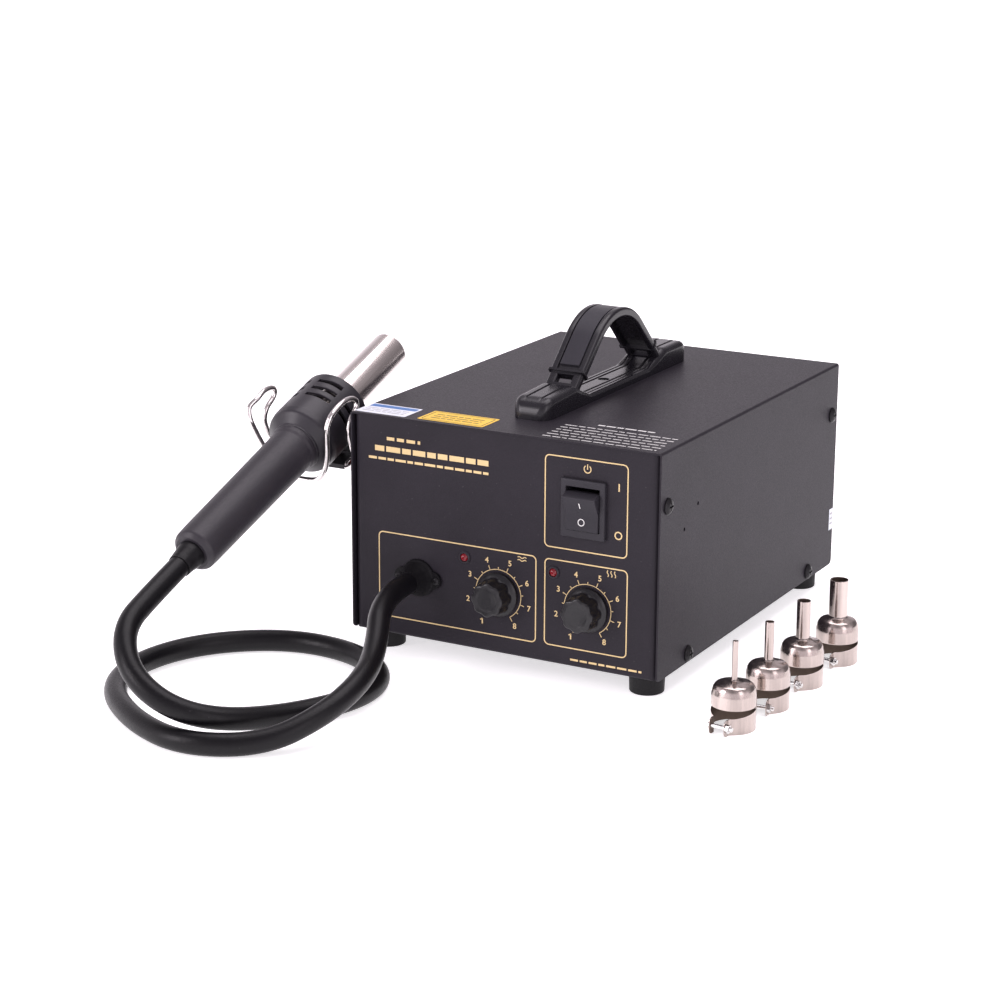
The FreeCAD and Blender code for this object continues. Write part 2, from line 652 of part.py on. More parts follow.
save("heater_core", heater_former())
turns = []
for k in range(12):
    turn = Part.makeTorus(8.5, 0.7, V(0, 0, 22.0 + 6.0 * k), V(0, 0, 1))
    turn.Placement = piece_axis_frame
    turns.append(turn)
save("heater_coil", *turns)
save("hose_sleeve", turned([
    (0, sleeve_end), (7.4, sleeve_end), ("arc", (7.0, -115.5)), (7.0, -112.0), (7.5, -103.0), (6.5, -100.0),
    (0, -100.0)]))


# ---------------------------------------------------------------- hanger
def bracket_body():
    body = box(-14.0, wall_x - 2.0, 27.0, 47.0, -31.6, -28.6)
    body = rounded(body, 3.0, lambda e: along(e, 2) and e.BoundBox.XMax < 0)
    body = body.fuse(box(wall_x - 2.0, wall_x, 9.0, 47.0, -33.0, -19.0))
    web = prism([V(14.0, 28.8, -30.0), V(14.0, 28.8, -23.5), V(30.0, 28.8, -10.5), V(wall_x - 1.0, 28.8, -10.5),
                 V(wall_x - 1.0, 28.8, -30.0)], V(0, 2.0, 0))
    body = body.fuse(web).fuse(box(wall_x - 2.0, wall_x, 24.0, 36.0, -20.0, -10.5)).removeSplitter()
    for s, h in ((15.5, -28.4), (34.7, -24.4)):
        body = body.cut(rod(1.6, V(wall_x - 5, s, h), V(wall_x + 5, s, h)))
    body = body.cut(rod(1.6, V(wire_shift, 38.0, -35), V(wire_shift, 38.0, -25)))
    return to_piece(body)


def wire_body():
    half = [(7.0, -2.5, -22.2), (18.5, -2.5, -9.0), (21.5, -2.5, 4.0), (23.5, -1.5, 21.0), (25.5, 22.5, 22.0),
            (27.0, 22.5, 15.4), (27.8, 11.0, 13.5), (27.5, 12.0, -3.0), (13.5, 12.0, -19.8), (11.0, 15.0, -27.15),
            (11.0, 45.0, -27.15)]
    left = [V(wire_shift - x, s, h) for x, s, h in reversed(half)]
    right = [V(wire_shift + x, s, h) for x, s, h in half]
    return to_piece(tube(left + right, wire_radius, 8.0)[0])


save("hanger_bracket", bracket_body())
save("hanger_wire", wire_body())
pad = prism([V(14.0, 26.6, -28.6), V(14.0, 26.6, -24.5), V(29.5, 26.6, -12.0), V(29.5, 26.6, -28.6)],
            V(0, 2.2, 0))
save("hanger_pad", to_piece(pad.cut(box(10, 35, 27.0, 30, -30, -28.6))))
plate = box(wire_shift - 15.0, wire_shift + 15.0, 34.0, 42.0, -25.7, -24.0)
plate = rounded(plate, 1.5, lambda e: along(e, 2))
save("hanger_clamp", to_piece(plate.cut(rod(1.6, V(wire_shift, 38.0, -35), V(wire_shift, 38.0, -20)))))
wall_screw = screw(2.8, 1.7, 1.5, 8.0)
clamp_screw = screw(2.8, 1.6, 1.5, 9.0)
save("hanger_screws",
     to_piece(aim(wall_screw, V(wall_x - 2.0, 15.5, -28.4), V(-1, 0, 0))),
     to_piece(aim(wall_screw, V(wall_x - 2.0, 34.7, -24.4), V(-1, 0, 0))),
     to_piece(aim(clamp_screw, V(wire_shift, 38.0, -24.0), upright)))

# ---------------------------------------------------------------- air hose
hose_end = piece_frame.multVec(V(0, sleeve_end, 0))
hose_before = piece_frame.multVec(V(0, sleeve_end - 27.3, 0))
hose_route = [
    V(-51.3, gland_front, 46.5), V(-51.3, -161.0, 46.5), V(-33.0, -196.0, 29.0), V(-23.0, -227.0, 24.0),
    V(-26.0, -256.0, 16.0), V(-43.0, -284.0, 6.0), V(-78.0, -304.0, 6.0), V(-119.0, -290.0, 6.0),
    V(-160.0, -257.0, 6.0), V(-172.0, -215.0, 6.0), V(-159.0, -173.0, 6.0), V(-122.0, -144.0, 6.0),
    V(-78.0, -145.0, 6.0), V(-44.0, -169.0, 6.0), V(-37.0, -204.0, 6.0), V(-55.0, -244.0, 6.0),
    V(-70.5, -284.6, 13.6), V(-92.3, -298.8, 21.9), V(-116.0, -296.7, 35.3), V(-131.1, -280.0, 50.9),
    hose_before, hose_end,
]
hose, hose_radii, hose_length = tube(hose_route, hose_radius)
print("hose radii", [round(r, 1) for r in hose_radii])
hose_section = math.pi * hose_radius ** 2
print("hose length", round(hose_length, 1), "volume", round(hose.Volume), "expected", round(hose_section * hose_length))
save("air_hose", hose)


# ---------------------------------------------------------------- nozzles
def nozzle_ear(side):
    """Straightened end of the clamp band: leaves the cup at 50 degrees and ends parallel to X."""
    cos, sin = math.cos(math.radians(50.5)), math.sin(math.radians(50.5))
    outer = [(cup_radius * cos, cup_radius * sin), (9.28, 7.48), (10.6, 6.1), (11.5, 5.0), (12.2, 4.6), (16.6, 4.6)]
    inner = [(16.6, 4.0), (11.95, 4.0), (11.05, 4.6), (10.15, 5.7), (8.9, 7.02), (cup_inner * cos, cup_inner * sin)]
    ear = prism([V(x, side * y, 0) for x, y in outer + inner], V(0, 0, ear_height))
    return rounded(ear, 2.5, lambda e: along(e, 1) and e.BoundBox.XMin > 16.5)


def nozzle_cup(tube_radius):
    """Cup with a clamp band and a hole for the tube on top; the ears point along +X."""
    shoulder = max(tube_radius + 1.6, 5.0)
    body = spin([
        (cup_radius, 0), (cup_radius, cup_wall_top), ("arc", (cup_radius - 1.35, cup_height - 2.4)),
        (shoulder, cup_height - 0.4), (tube_radius + 0.5, cup_height), (tube_radius, cup_height + 0.5),
        (tube_radius, cup_height - 1.2), (shoulder - 0.3, cup_height - 1.1),
        ("arc", (cup_radius - 1.9, cup_height - 2.9)), (cup_inner, cup_wall_top), (cup_inner, 0)])
    reach = 20.0
    half_gap = math.radians(50)
    gap = prism([V(0, 0, -1), V(reach * math.cos(half_gap), -reach * math.sin(half_gap), -1),
                 V(reach, -reach, -1), V(reach, reach, -1),
                 V(reach * math.cos(half_gap), reach * math.sin(half_gap), -1)], V(0, 0, 13.6))
    slot = prism([V(-4.0, -13, 11.2), V(9.5, -13, 8.75), V(9.5, -13, 12.6), V(-4.0, -13, 12.6)], V(0, 26, 0))
    body = body.cut(gap).cut(slot)
    for side in (-1, 1):
        body = body.fuse(nozzle_ear(side))
    body = body.removeSplitter()
    return body.cut(rod(1.3, V(clamp_screw_x, -8, clamp_screw_z), V(clamp_screw_x, 8, clamp_screw_z)))


def nozzle_tube(tube_radius):
    """Tube brazed into the cup's shoulder."""
    inner = tube_radius - nozzle_wall
    return spin([(tube_radius, cup_height - 1.4), (tube_radius, nozzle_height), (inner, nozzle_height),
                 (inner, cup_height - 1.4)])


def nozzle_screw_body():
    """Clamp screw through the ears, and its nut."""
    bolt = aim(screw(2.2, 1.5, 1.2, 12.6), V(clamp_screw_x, -4.6, clamp_screw_z), V(0, -1, 0))
    nut = aim(hexagon(2.3, 1.9).cut(rod(1.25, V(0, 0, -1), V(0, 0, 3))),
              V(clamp_screw_x, 4.6, clamp_screw_z), V(0, 1, 0))
    return bolt, nut


for number, (x, y, tube_radius, ears) in enumerate(nozzles, 1):
    angle = math.degrees(math.atan2(ears[1], ears[0]))
    spot = Placement(V(x, y, 0), Rotation(V(0, 0, 1), angle))
    nozzle = [nozzle_cup(tube_radius), nozzle_tube(tube_radius)]
    for piece in nozzle:
        piece.Placement = spot
    save("nozzle_%d" % number, *nozzle)
    pieces = []
    for piece in nozzle_screw_body():
        piece.Placement = spot.multiply(piece.Placement)
        pieces.append(piece)
    save("nozzle_screw_%d" % number, *pieces)
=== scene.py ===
import json
import math
import random

import bmesh
import bpy
import numpy as np
from mathutils import Matrix, Vector


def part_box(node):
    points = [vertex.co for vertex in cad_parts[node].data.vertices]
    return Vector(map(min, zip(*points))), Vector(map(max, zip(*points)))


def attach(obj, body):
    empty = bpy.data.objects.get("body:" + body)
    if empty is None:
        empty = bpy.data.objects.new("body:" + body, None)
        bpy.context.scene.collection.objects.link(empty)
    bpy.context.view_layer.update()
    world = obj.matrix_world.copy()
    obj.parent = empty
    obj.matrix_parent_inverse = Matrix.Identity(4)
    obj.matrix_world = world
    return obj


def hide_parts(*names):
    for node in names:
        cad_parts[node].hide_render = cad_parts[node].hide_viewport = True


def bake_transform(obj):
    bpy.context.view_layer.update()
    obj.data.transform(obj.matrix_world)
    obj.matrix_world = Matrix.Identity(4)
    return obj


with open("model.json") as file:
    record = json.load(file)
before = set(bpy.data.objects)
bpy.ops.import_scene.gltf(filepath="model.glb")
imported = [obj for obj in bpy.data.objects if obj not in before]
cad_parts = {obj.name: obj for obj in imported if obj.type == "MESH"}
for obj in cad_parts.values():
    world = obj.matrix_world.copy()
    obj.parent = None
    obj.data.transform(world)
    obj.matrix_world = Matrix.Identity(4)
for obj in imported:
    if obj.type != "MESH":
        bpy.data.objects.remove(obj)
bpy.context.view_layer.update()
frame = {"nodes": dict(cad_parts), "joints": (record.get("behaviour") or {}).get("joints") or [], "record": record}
nodes = frame["nodes"]
MM = 0.001


# ---------------------------------------------------------------- camera
def matrix_from(x_axis, y_axis, z_axis, origin):
    """Placement from three axes and an origin."""
    m = Matrix.Identity(4)
    for k, v in enumerate((x_axis, y_axis, z_axis, origin)):
        m[0][k], m[1][k], m[2][k] = v
    return m


CAMERA_PLACE = (0.60693, -1.22604, 0.45195)
CAMERA_FORWARD = Vector((-0.46415, 0.84339, -0.27068)).normalized()
CAMERA_LEVEL = Vector((0.87552, 0.48317, 0.00418))
FOCAL_LENGTH = 88.88


def make_camera():
    data = bpy.data.cameras.new("camera")
    data.lens = FOCAL_LENGTH
    data.sensor_width = 36.0
    data.clip_start = 0.05
    data.clip_end = 100
    camera = bpy.data.objects.new("camera", data)
    bpy.context.scene.collection.objects.link(camera)
    right = (CAMERA_LEVEL - CAMERA_FORWARD * CAMERA_LEVEL.dot(CAMERA_FORWARD)).normalized()
    up = right.cross(CAMERA_FORWARD)
    camera.matrix_world = matrix_from(right, up, -CAMERA_FORWARD, CAMERA_PLACE)
    bpy.context.scene.camera = camera


make_camera()


# ---------------------------------------------------------------- materials
def noise(tree, vector, scale, detail):
    node = tree.nodes.new("ShaderNodeTexNoise")
    node.inputs["Scale"].default_value = scale
    node.inputs["Detail"].default_value = detail
    tree.links.new(vector, node.inputs["Vector"])
    return node.outputs["Fac"]


def scaled(tree, vector, scale):
    node = tree.nodes.new("ShaderNodeMapping")
    node.inputs["Scale"].default_value = scale
    tree.links.new(vector, node.inputs["Vector"])
    return node.outputs["Vector"]


def ramp(tree, factor, low, low_color, high, high_color):
    """Colour that goes from low_color at low to high_color at high."""
    node = tree.nodes.new("ShaderNodeValToRGB")
    first, last = node.color_ramp.elements
    first.position = low
    first.color = (*low_color, 1)
    last.position = high
    last.color = (*high_color, 1)
    tree.links.new(factor, node.inputs["Fac"])
    return node.outputs["Color"]


def spread_over(tree, value, low, high, to_low, to_high, kind="LINEAR"):
    """Value between low and high, stretched to run from to_low to to_high."""
    node = tree.nodes.new("ShaderNodeMapRange")
    node.interpolation_type = kind
    node.inputs["From Min"].default_value = low
    node.inputs["From Max"].default_value = high
    node.inputs["To Min"].default_value = to_low
    node.inputs["To Max"].default_value = to_high
    tree.links.new(value, node.inputs["Value"])
    return node.outputs["Result"]


def worn(tree, vector, colour, wear):
    """Colour with small specks of wear = (colour, scale, level above which a speck shows)."""
    speck_colour, scale, level = wear
    edge = ramp(tree, noise(tree, vector, scale, 6), level, (0, 0, 0), min(1, level + 0.06), (1, 1, 1))
    mix = tree.nodes.new("ShaderNodeMix")
    mix.data_type = "RGBA"
    mix.inputs["B"].default_value = (*speck_colour, 1)
    tree.links.new(edge, mix.inputs["Factor"])
    tree.links.new(colour, mix.inputs["A"])
    return mix.outputs["Result"]


def shader(name, color, rough, metallic=0.0, grain=(900, 0.1, 0.0002), tint=0.12, spread=0.08, tone_and_reflection_scale=30,
           ior=1.3, coat=0.0, stretch=(1, 1, 1), painted_reflection_colour=None, wear=None, run=(1, 1, 1)):
    """Principled surface with fine grain in its bump, and colour and roughness that vary softly.

    grain is (scale, bump strength, bump distance), stretch scales its directions and run those of the colour. The
    colour noise gives a plain random tone; with run long along Z, a wide tint and a light end colour, it paints
    long reflection streaks instead.
    """
    m = bpy.data.materials.new(name)
    m.use_nodes = True
    tree = m.node_tree
    tree.nodes.clear()
    link = tree.links.new
    out = tree.nodes.new("ShaderNodeOutputMaterial")
    bsdf = tree.nodes.new("ShaderNodeBsdfPrincipled")
    link(bsdf.outputs["BSDF"], out.inputs["Surface"])
    place = tree.nodes.new("ShaderNodeTexCoord").outputs["Object"]
    grain_scale, bump_strength, bump_distance = grain
    fine = noise(tree, scaled(tree, place, stretch), grain_scale, 3)
    # Colour noise: random tone on most materials, stretched into painted reflection streaks on the nickel and the
    # pipe steel.
    soft = noise(tree, scaled(tree, place, run), tone_and_reflection_scale, 4)
    dark = [c * (1 - tint) for c in color]
    light = [min(1, c * (1 + tint)) for c in (painted_reflection_colour or color)]
    colour = ramp(tree, soft, 0.3, dark, 0.7, light)
    if wear:
        colour = worn(tree, place, colour, wear)
    link(colour, bsdf.inputs["Base Color"])
    roughness = spread_over(tree, fine, 0.3, 0.7, max(0.02, rough - spread), min(1, rough + spread))
    link(roughness, bsdf.inputs["Roughness"])
    bump = tree.nodes.new("ShaderNodeBump")
    bump.inputs["Strength"].default_value = bump_strength
    bump.inputs["Distance"].default_value = bump_distance
    link(fine, bump.inputs["Height"])
    link(bump.outputs["Normal"], bsdf.inputs["Normal"])
    bsdf.inputs["Metallic"].default_value = metallic
    bsdf.inputs["IOR"].default_value = ior
    bsdf.inputs["Coat Weight"].default_value = coat
    bsdf.inputs["Coat Roughness"].default_value = 0.15
    return m


powder = shader("powder_coat", (0.0185, 0.0158, 0.0212), 0.46, grain=(1500, 0.35, 0.0002), tint=0.1,
                spread=0.07, ior=1.25, wear=((0.05, 0.045, 0.05), 900, 0.70))
black_metal = shader("black_screw", (0.016, 0.0152, 0.017), 0.32, metallic=0.3, grain=(1200, 0.2, 0.0001))
handle_black = shader("handle_black", (0.0105, 0.0094, 0.0128), 0.26, grain=(5000, 0.02, 0.0001), spread=0.02,
                      ior=1.42)
strip_black = shader("handle_strip", (0.026, 0.0245, 0.031), 0.42, grain=(1700, 0.4, 0.0002), spread=0.06)
switch_black = shader("switch_black", (0.026, 0.0240, 0.0300), 0.42, grain=(2200, 0.3, 0.0001), spread=0.06)
knob_black = shader("knob_black", (0.0085, 0.0078, 0.0098), 0.3, grain=(5000, 0.03, 0.0001), spread=0.03,
                    ior=1.42)
grip_black = shader("grip_black", (0.0235, 0.0205, 0.0262), 0.45, grain=(1300, 0.3, 0.0002), spread=0.08,
                    ior=1.42, wear=((0.035, 0.032, 0.036), 700, 0.72))
head_black = shader("head_black", (0.0205, 0.0180, 0.0235), 0.38, grain=(1500, 0.12, 0.0002), spread=0.06,
                    ior=1.42)
hose_black = shader("hose_black", (0.0036, 0.0032, 0.0044), 0.36, grain=(1100, 0.3, 0.0003), spread=0.08,
                    wear=((0.03, 0.028, 0.03), 500, 0.71))
rubber_black = shader("rubber_black", (0.008, 0.0076, 0.0088), 0.55, grain=(1200, 0.4, 0.0003))
gland_black = shader("gland_black", (0.0050, 0.0046, 0.0058), 0.5, grain=(1500, 0.2, 0.0002), ior=1.24)
bracket_black = shader("bracket_black", (0.012, 0.0108, 0.0135), 0.42, grain=(1400, 0.3, 0.0002))
chrome = shader("chrome_wire", (0.72, 0.68, 0.67), 0.1, metallic=1.0, grain=(700, 0.05, 0.0001), tint=0.18,
                spread=0.05, tone_and_reflection_scale=220)
# Nozzle nickel: its colour runs in long light and dark streaks along each nozzle's axis, painted reflection bands.
nickel = shader("nozzle_nickel", (0.43, 0.37, 0.345), 0.2, metallic=1.0, grain=(600, 0.06, 0.0001), tint=0.26,
                spread=0.07, tone_and_reflection_scale=150, painted_reflection_colour=(0.49, 0.42, 0.39), run=(1, 1, 0.08))
# Inner face of the nozzles: dark brown, painted shade inside the cups.
painted_shade_inside = shader("nozzle_inside", (0.15, 0.11, 0.09), 0.45, metallic=0.6, grain=(600, 0.1, 0.0001))
# Pipe steel: its colour runs in long light and dark streaks along the barrel, painted reflection bands.
steel = shader("pipe_steel", (0.62, 0.56, 0.55), 0.22, metallic=1.0, grain=(420, 0.02, 0.00004), tint=0.3,
               spread=0.05, stretch=(1, 1, 0.04), tone_and_reflection_scale=75, painted_reflection_colour=(0.70, 0.64, 0.61), run=(1, 1, 0.05))
zinc = shader("zinc_steel", (0.66, 0.65, 0.64), 0.22, metallic=1.0, grain=(1500, 0.15, 0.0001))
brass = shader("brass", (0.72, 0.53, 0.25), 0.3, metallic=1.0, grain=(900, 0.15, 0.0001))
gold = shader("gold_print", (0.66, 0.50, 0.26), 0.42, grain=(2500, 0.2, 0.00005), tint=0.06, metallic=0.15)
white_ink = shader("white_ink", (0.66, 0.65, 0.64), 0.5, grain=(2500, 0.2, 0.00005), tint=0.05)
lamp_red = shader("lamp_red", (0.17, 0.004, 0.010), 0.12, grain=(500, 0.0, 0.0001), ior=1.5, spread=0.03)
pad_red = shader("pad_red", (0.11, 0.018, 0.014), 0.5, grain=(900, 0.3, 0.0002))
label_white = shader("label_white", (0.72, 0.75, 0.82), 0.4, grain=(1200, 0.15, 0.0001), tint=0.04)
label_blue = shader("label_blue", (0.05, 0.16, 0.42), 0.4, grain=(1200, 0.15, 0.0001), tint=0.06)
label_yellow = shader("label_yellow", (0.82, 0.52, 0.03), 0.38, grain=(1200, 0.15, 0.0001), tint=0.05)
label_ink = shader("label_ink", (0.09, 0.07, 0.03), 0.5, grain=(1200, 0.15, 0.0001))
label_grey = shader("label_grey", (0.42, 0.42, 0.44), 0.45, grain=(1200, 0.15, 0.0001))
casting = shader("pump_casting", (0.35, 0.35, 0.36), 0.5, metallic=0.9, grain=(500, 0.5, 0.0004))
copper = shader("copper_winding", (0.52, 0.22, 0.09), 0.35, metallic=0.9, grain=(120, 0.5, 0.0004),
                stretch=(1, 1, 14))
silicone = shader("silicone_tube", (0.62, 0.60, 0.55), 0.5, grain=(900, 0.2, 0.0002))
board_green = shader("board_green", (0.02, 0.14, 0.05), 0.3, grain=(1500, 0.2, 0.0001), coat=0.3)
core_steel = shader("core_steel", (0.22, 0.21, 0.2), 0.45, metallic=0.8, grain=(90, 0.5, 0.0003),
                    stretch=(1, 40, 1))
alloy = shader("alloy", (0.6, 0.6, 0.61), 0.4, metallic=1.0, grain=(900, 0.2, 0.0001))
component = shader("component_black", (0.02, 0.02, 0.022), 0.4, grain=(1500, 0.2, 0.0001))
mica = shader("mica", (0.52, 0.46, 0.33), 0.5, grain=(500, 0.3, 0.0002))
ceramic = shader("ceramic", (0.78, 0.75, 0.68), 0.6, grain=(900, 0.3, 0.0002))

BY_SLOT = {
    "black_powder_coat": powder, "black_screw": black_metal, "foot_rubber": rubber_black,
    "handle_plastic": handle_black, "handle_strip": strip_black, "switch_plastic": switch_black,
    "knob_plastic": knob_black, "gland_plastic": gland_black, "handpiece_plastic": grip_black,
    "zinc_steel": zinc, "brass": brass, "pump_casting": casting, "copper_winding": copper,
    "silicone_tube": silicone, "board_green": board_green, "core_steel": core_steel, "aluminium": alloy,
    "component_black": component, "red_lens": lamp_red, "pipe_steel": steel, "mica": mica,
    "ceramic": ceramic, "black_bracket": bracket_black, "chrome_wire": chrome, "red_pad": pad_red,
    "hose_rubber": hose_black, "nozzle_nickel": nickel,
}
for part in frame["record"]["subparts"]:
    materials = nodes[part["node"]].data.materials
    look = BY_SLOT[part["material_slot"]]
    if len(materials) == 0:
        materials.append(look)
    for k in range(len(materials)):
        materials[k] = look
nodes["gland_screws"].data.materials[0] = black_metal


# ---------------------------------------------------------------- mesh helpers
def smooth_shading(mesh, angle):
    """Smooth faces, with edges sharper than angle degrees left sharp."""
    for p in mesh.polygons:
        p.use_smooth = True
    mesh.set_sharp_from_angle(angle=math.radians(angle))


def make(name, verts, faces, look, body, smooth=35.0, matrix=None):
    """Piece from verts and faces, riding on body; smooth is its shading angle in degrees, or None."""
    mesh = bpy.data.meshes.new(name)
    mesh.from_pydata([tuple(v) for v in verts], [], faces)
    mesh.validate()
    if smooth:
        bm = bmesh.new()
        bm.from_mesh(mesh)
        bmesh.ops.recalc_face_normals(bm, faces=bm.faces)
        bm.to_mesh(mesh)
        bm.free()
        smooth_shading(mesh, smooth)
    mesh.materials.append(look)
    obj = bpy.data.objects.new(name, mesh)
    bpy.context.scene.collection.objects.link(obj)
    if matrix is not None:
        obj.matrix_world = matrix
    if body:
        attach(obj, body)
    return obj


def lathe(profile, segments=96, shape=None, skip=None, close=True):
    """Verts and faces of a closed profile of (radius, z) in mm, turned about Z."""
    verts, faces = [], []
    count = len(profile)
    for s in range(segments):
        theta = 2 * math.pi * s / segments
        for i, (r, z) in enumerate(profile):
            if shape:
                r, z = shape(i, theta, r, z)
            verts.append((r * math.cos(theta) * MM, r * math.sin(theta) * MM, z * MM))
    last = count if close else count - 1
    for s in range(segments):
        t = (s + 1) % segments
        for i in range(last):
            j = (i + 1) % count
            if skip and skip(s, i):
                continue
            faces.append((s * count + i, s * count + j, t * count + j, t * count + i))
    return verts, faces


def curve_points(corners, steps=8):
    """Profile through corners; a corner written (r, z, radius) is rounded with that radius."""
    out = []
    n = len(corners)
    for i, c in enumerate(corners):
        if len(c) < 3 or i in (0, n - 1):
            out.append((c[0], c[1]))
            continue
        p = Vector((c[0], c[1]))
        a = Vector(corners[i - 1][:2]) - p
        b = Vector(corners[i + 1][:2]) - p
        half = a.angle(b) / 2
        t = min(c[2] / math.tan(half), a.length * 0.49, b.length * 0.49)
        start, end = p + a.normalized() * t, p + b.normalized() * t
        for k in range(steps + 1):
            u = k / steps
            q = start.lerp(p, u).lerp(p.lerp(end, u), u)
            out.append((q.x, q.y))
    return out


def tube_mesh(points, radius, sides):
    """Verts and faces of a capped tube along points in metres, with frames carried along it."""
    pts = [Vector(p) for p in points]
    tangents = [(b - a).normalized() for a, b in zip(pts[:1] + pts, pts[1:] + pts[-1:])]
    normal = tangents[0].orthogonal().normalized()
    verts, faces = [], []
    for p, tangent in zip(pts, tangents):
        normal = (normal - tangent * normal.dot(tangent)).normalized()
        side = tangent.cross(normal)
        for k in range(sides):
            a = 2 * math.pi * k / sides
            verts.append(p + (normal * math.cos(a) + side * math.sin(a)) * radius)
    for i in range(len(pts) - 1):
        for k in range(sides):
            m = (k + 1) % sides
            faces.append((i * sides + k, i * sides + m, (i + 1) * sides + m, (i + 1) * sides + k))
    faces.append(tuple(reversed(range(sides))))
    faces.append(tuple((len(pts) - 1) * sides + k for k in range(sides)))
    return verts, faces


def joined(parts):
    """One list of verts and faces from several."""
    verts, faces = [], []
    for v, f in parts:
        faces += [tuple(i + len(verts) for i in face) for face in f]
        verts += v
    return verts, faces


def skin(rings):
    """Closed mesh through rings of points, with both ends capped."""
    n = len(rings[0])
    verts = [p for ring in rings for p in ring]
    faces = []
    for k in range(len(rings) - 1):
        for i in range(n):
            j = (i + 1) % n
            faces.append((k * n + i, k * n + j, (k + 1) * n + j, (k + 1) * n + i))
    faces.append(tuple(range(n)))
    faces.append(tuple((len(rings) - 1) * n + i for i in reversed(range(n))))
    return verts, faces


def cut_away(obj, cutter):
    """Subtract a closed mesh from obj for good."""
    modifier = obj.modifiers.new("cut", "BOOLEAN")
    modifier.operation = "DIFFERENCE"
    modifier.solver = "EXACT"
    modifier.object = cutter
    bpy.context.view_layer.update()
    graph = bpy.context.evaluated_depsgraph_get()
    done = bpy.data.meshes.new_from_object(obj.evaluated_get(graph))
    obj.modifiers.clear()
    obj.data = done
    bpy.data.objects.remove(cutter)
    smooth_shading(done, 35)


def bevelled(obj, width, segments, angle):
    """Round the edges sharper than angle degrees, width in mm."""
    modifier = obj.modifiers.new("bevel", "BEVEL")
    modifier.width = width * MM
    modifier.segments = segments
    modifier.limit_method = "ANGLE"
    modifier.angle_limit = math.radians(angle)
    modifier.harden_normals = False


# ---------------------------------------------------------------- air hose
HEAD_PLACE = (-0.133, -0.1169, 0.1091)    # where the grip meets the head, on the barrel's axis


def joint_named(name):
    return next(j for j in frame["joints"] if j["name"] == name)


def handpiece_matrix():
    """Handpiece frame at the head's foot: X across, Y along the barrel, Z the way that it lifts."""
    above = Vector(joint_named("handpiece_lift")["axis"]).normalized()
    across = Vector((1, 0, 0))
    return matrix_from(across, above.cross(across), above, HEAD_PLACE)


PIECE = handpiece_matrix()
BARREL = PIECE @ Matrix.Rotation(math.radians(-90), 4, "X")    # Z along the barrel, for turned pieces


def on_piece(x, s, h):
    """Point in mm in the handpiece frame: across, along the barrel, above it."""
    return PIECE @ Vector((x * MM, s * MM, h * MM))


HOSE_DIAMETER = 0.012
HOSE_ROUTE = [
    (-0.0513, -0.1330, 0.0465), (-0.0513, -0.1610, 0.0465), (-0.0330, -0.1960, 0.0290),
    (-0.0230, -0.2270, 0.0240), (-0.0260, -0.2560, 0.0160), (-0.0430, -0.2840, 0.0060),
    (-0.0780, -0.3040, 0.0060), (-0.1190, -0.2900, 0.0060), (-0.1600, -0.2570, 0.0060),
    (-0.1720, -0.2150, 0.0060), (-0.1590, -0.1730, 0.0060), (-0.1220, -0.1440, 0.0060),
    (-0.0780, -0.1450, 0.0060), (-0.0440, -0.1690, 0.0060), (-0.0370, -0.2040, 0.0060),
    (-0.0550, -0.2440, 0.0060), (-0.0705, -0.2846, 0.0136), (-0.0923, -0.2988, 0.0219),
    (-0.1160, -0.2967, 0.0353), (-0.1311, -0.2800, 0.0509), tuple(on_piece(0, -145.8, 0)),
    tuple(on_piece(0, -118.5, 0)),
]


def make_hose(sleeve):
    """Air hose along its NURBS line; it bends between the station and the handpiece."""
    data = bpy.data.curves.new("hose_line", "CURVE")
    data.dimensions = "3D"
    spline = data.splines.new("NURBS")
    spline.points.add(len(HOSE_ROUTE) - 1)
    for point, place in zip(spline.points, HOSE_ROUTE):
        point.co = (*place, 1)
    spline.order_u = 3
    spline.use_endpoint_u = True
    spline.resolution_u = 12
    line = bpy.data.objects.new("hose_line", data)
    bpy.context.scene.collection.objects.link(line)
    bpy.context.view_layer.update()
    read = bpy.data.meshes.new_from_object(line)
    path = [tuple(v.co) for v in read.vertices]
    bpy.data.objects.remove(line)
    bpy.data.curves.remove(data)
    bpy.data.meshes.remove(read)
    verts, faces = tube_mesh(path, HOSE_DIAMETER / 2, sides=40)
    hose = make("air_hose_body", verts, faces, hose_black, None, smooth=50)
    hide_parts("air_hose")
    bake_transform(hose)


# ---------------------------------------------------------------- handpiece
def make_grip():
    profile = curve_points([
        (6.3, -106.2), (9.8, -106.4, 1.0), (12.3, -103.9, 3.0), (12.6, -97.0, 20), (13.4, -12.0, 30),
        (13.6, -6.0, 3), (14.2, -4.2, 1.5), (14.3, -1.4, 0.4), (14.0, -1.0, 0.3), (11.4, -1.0)])
    verts, faces = lathe(profile, close=False)
    grip = make("handpiece_grip_body", verts, faces, grip_black, "handpiece",
                matrix=BARREL)
    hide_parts("handpiece_grip")


make_grip()

HEAD_SEGMENTS = 144
HEAD_RADIUS = 20.8
HEAD_INSIDE = 19.0
HEAD_TOP = 44.0
SLOT_ROWS = [(21.3, 24.3), (28.1, 31.1), (35.2, 38.2)]
SLOT_COUNT = 6
SLOT_SPAN = 45.0
SLOT_TURN = 44.0


def in_slot(s):
    """Whether segment s of the head's shell falls in a vent slot."""
    middle = (s + 0.5) * 360.0 / HEAD_SEGMENTS
    centres = [SLOT_TURN + 360 / SLOT_COUNT * k for k in range(SLOT_COUNT)]
    return any(abs((middle - centre + 180) % 360 - 180) < SLOT_SPAN / 2 for centre in centres)


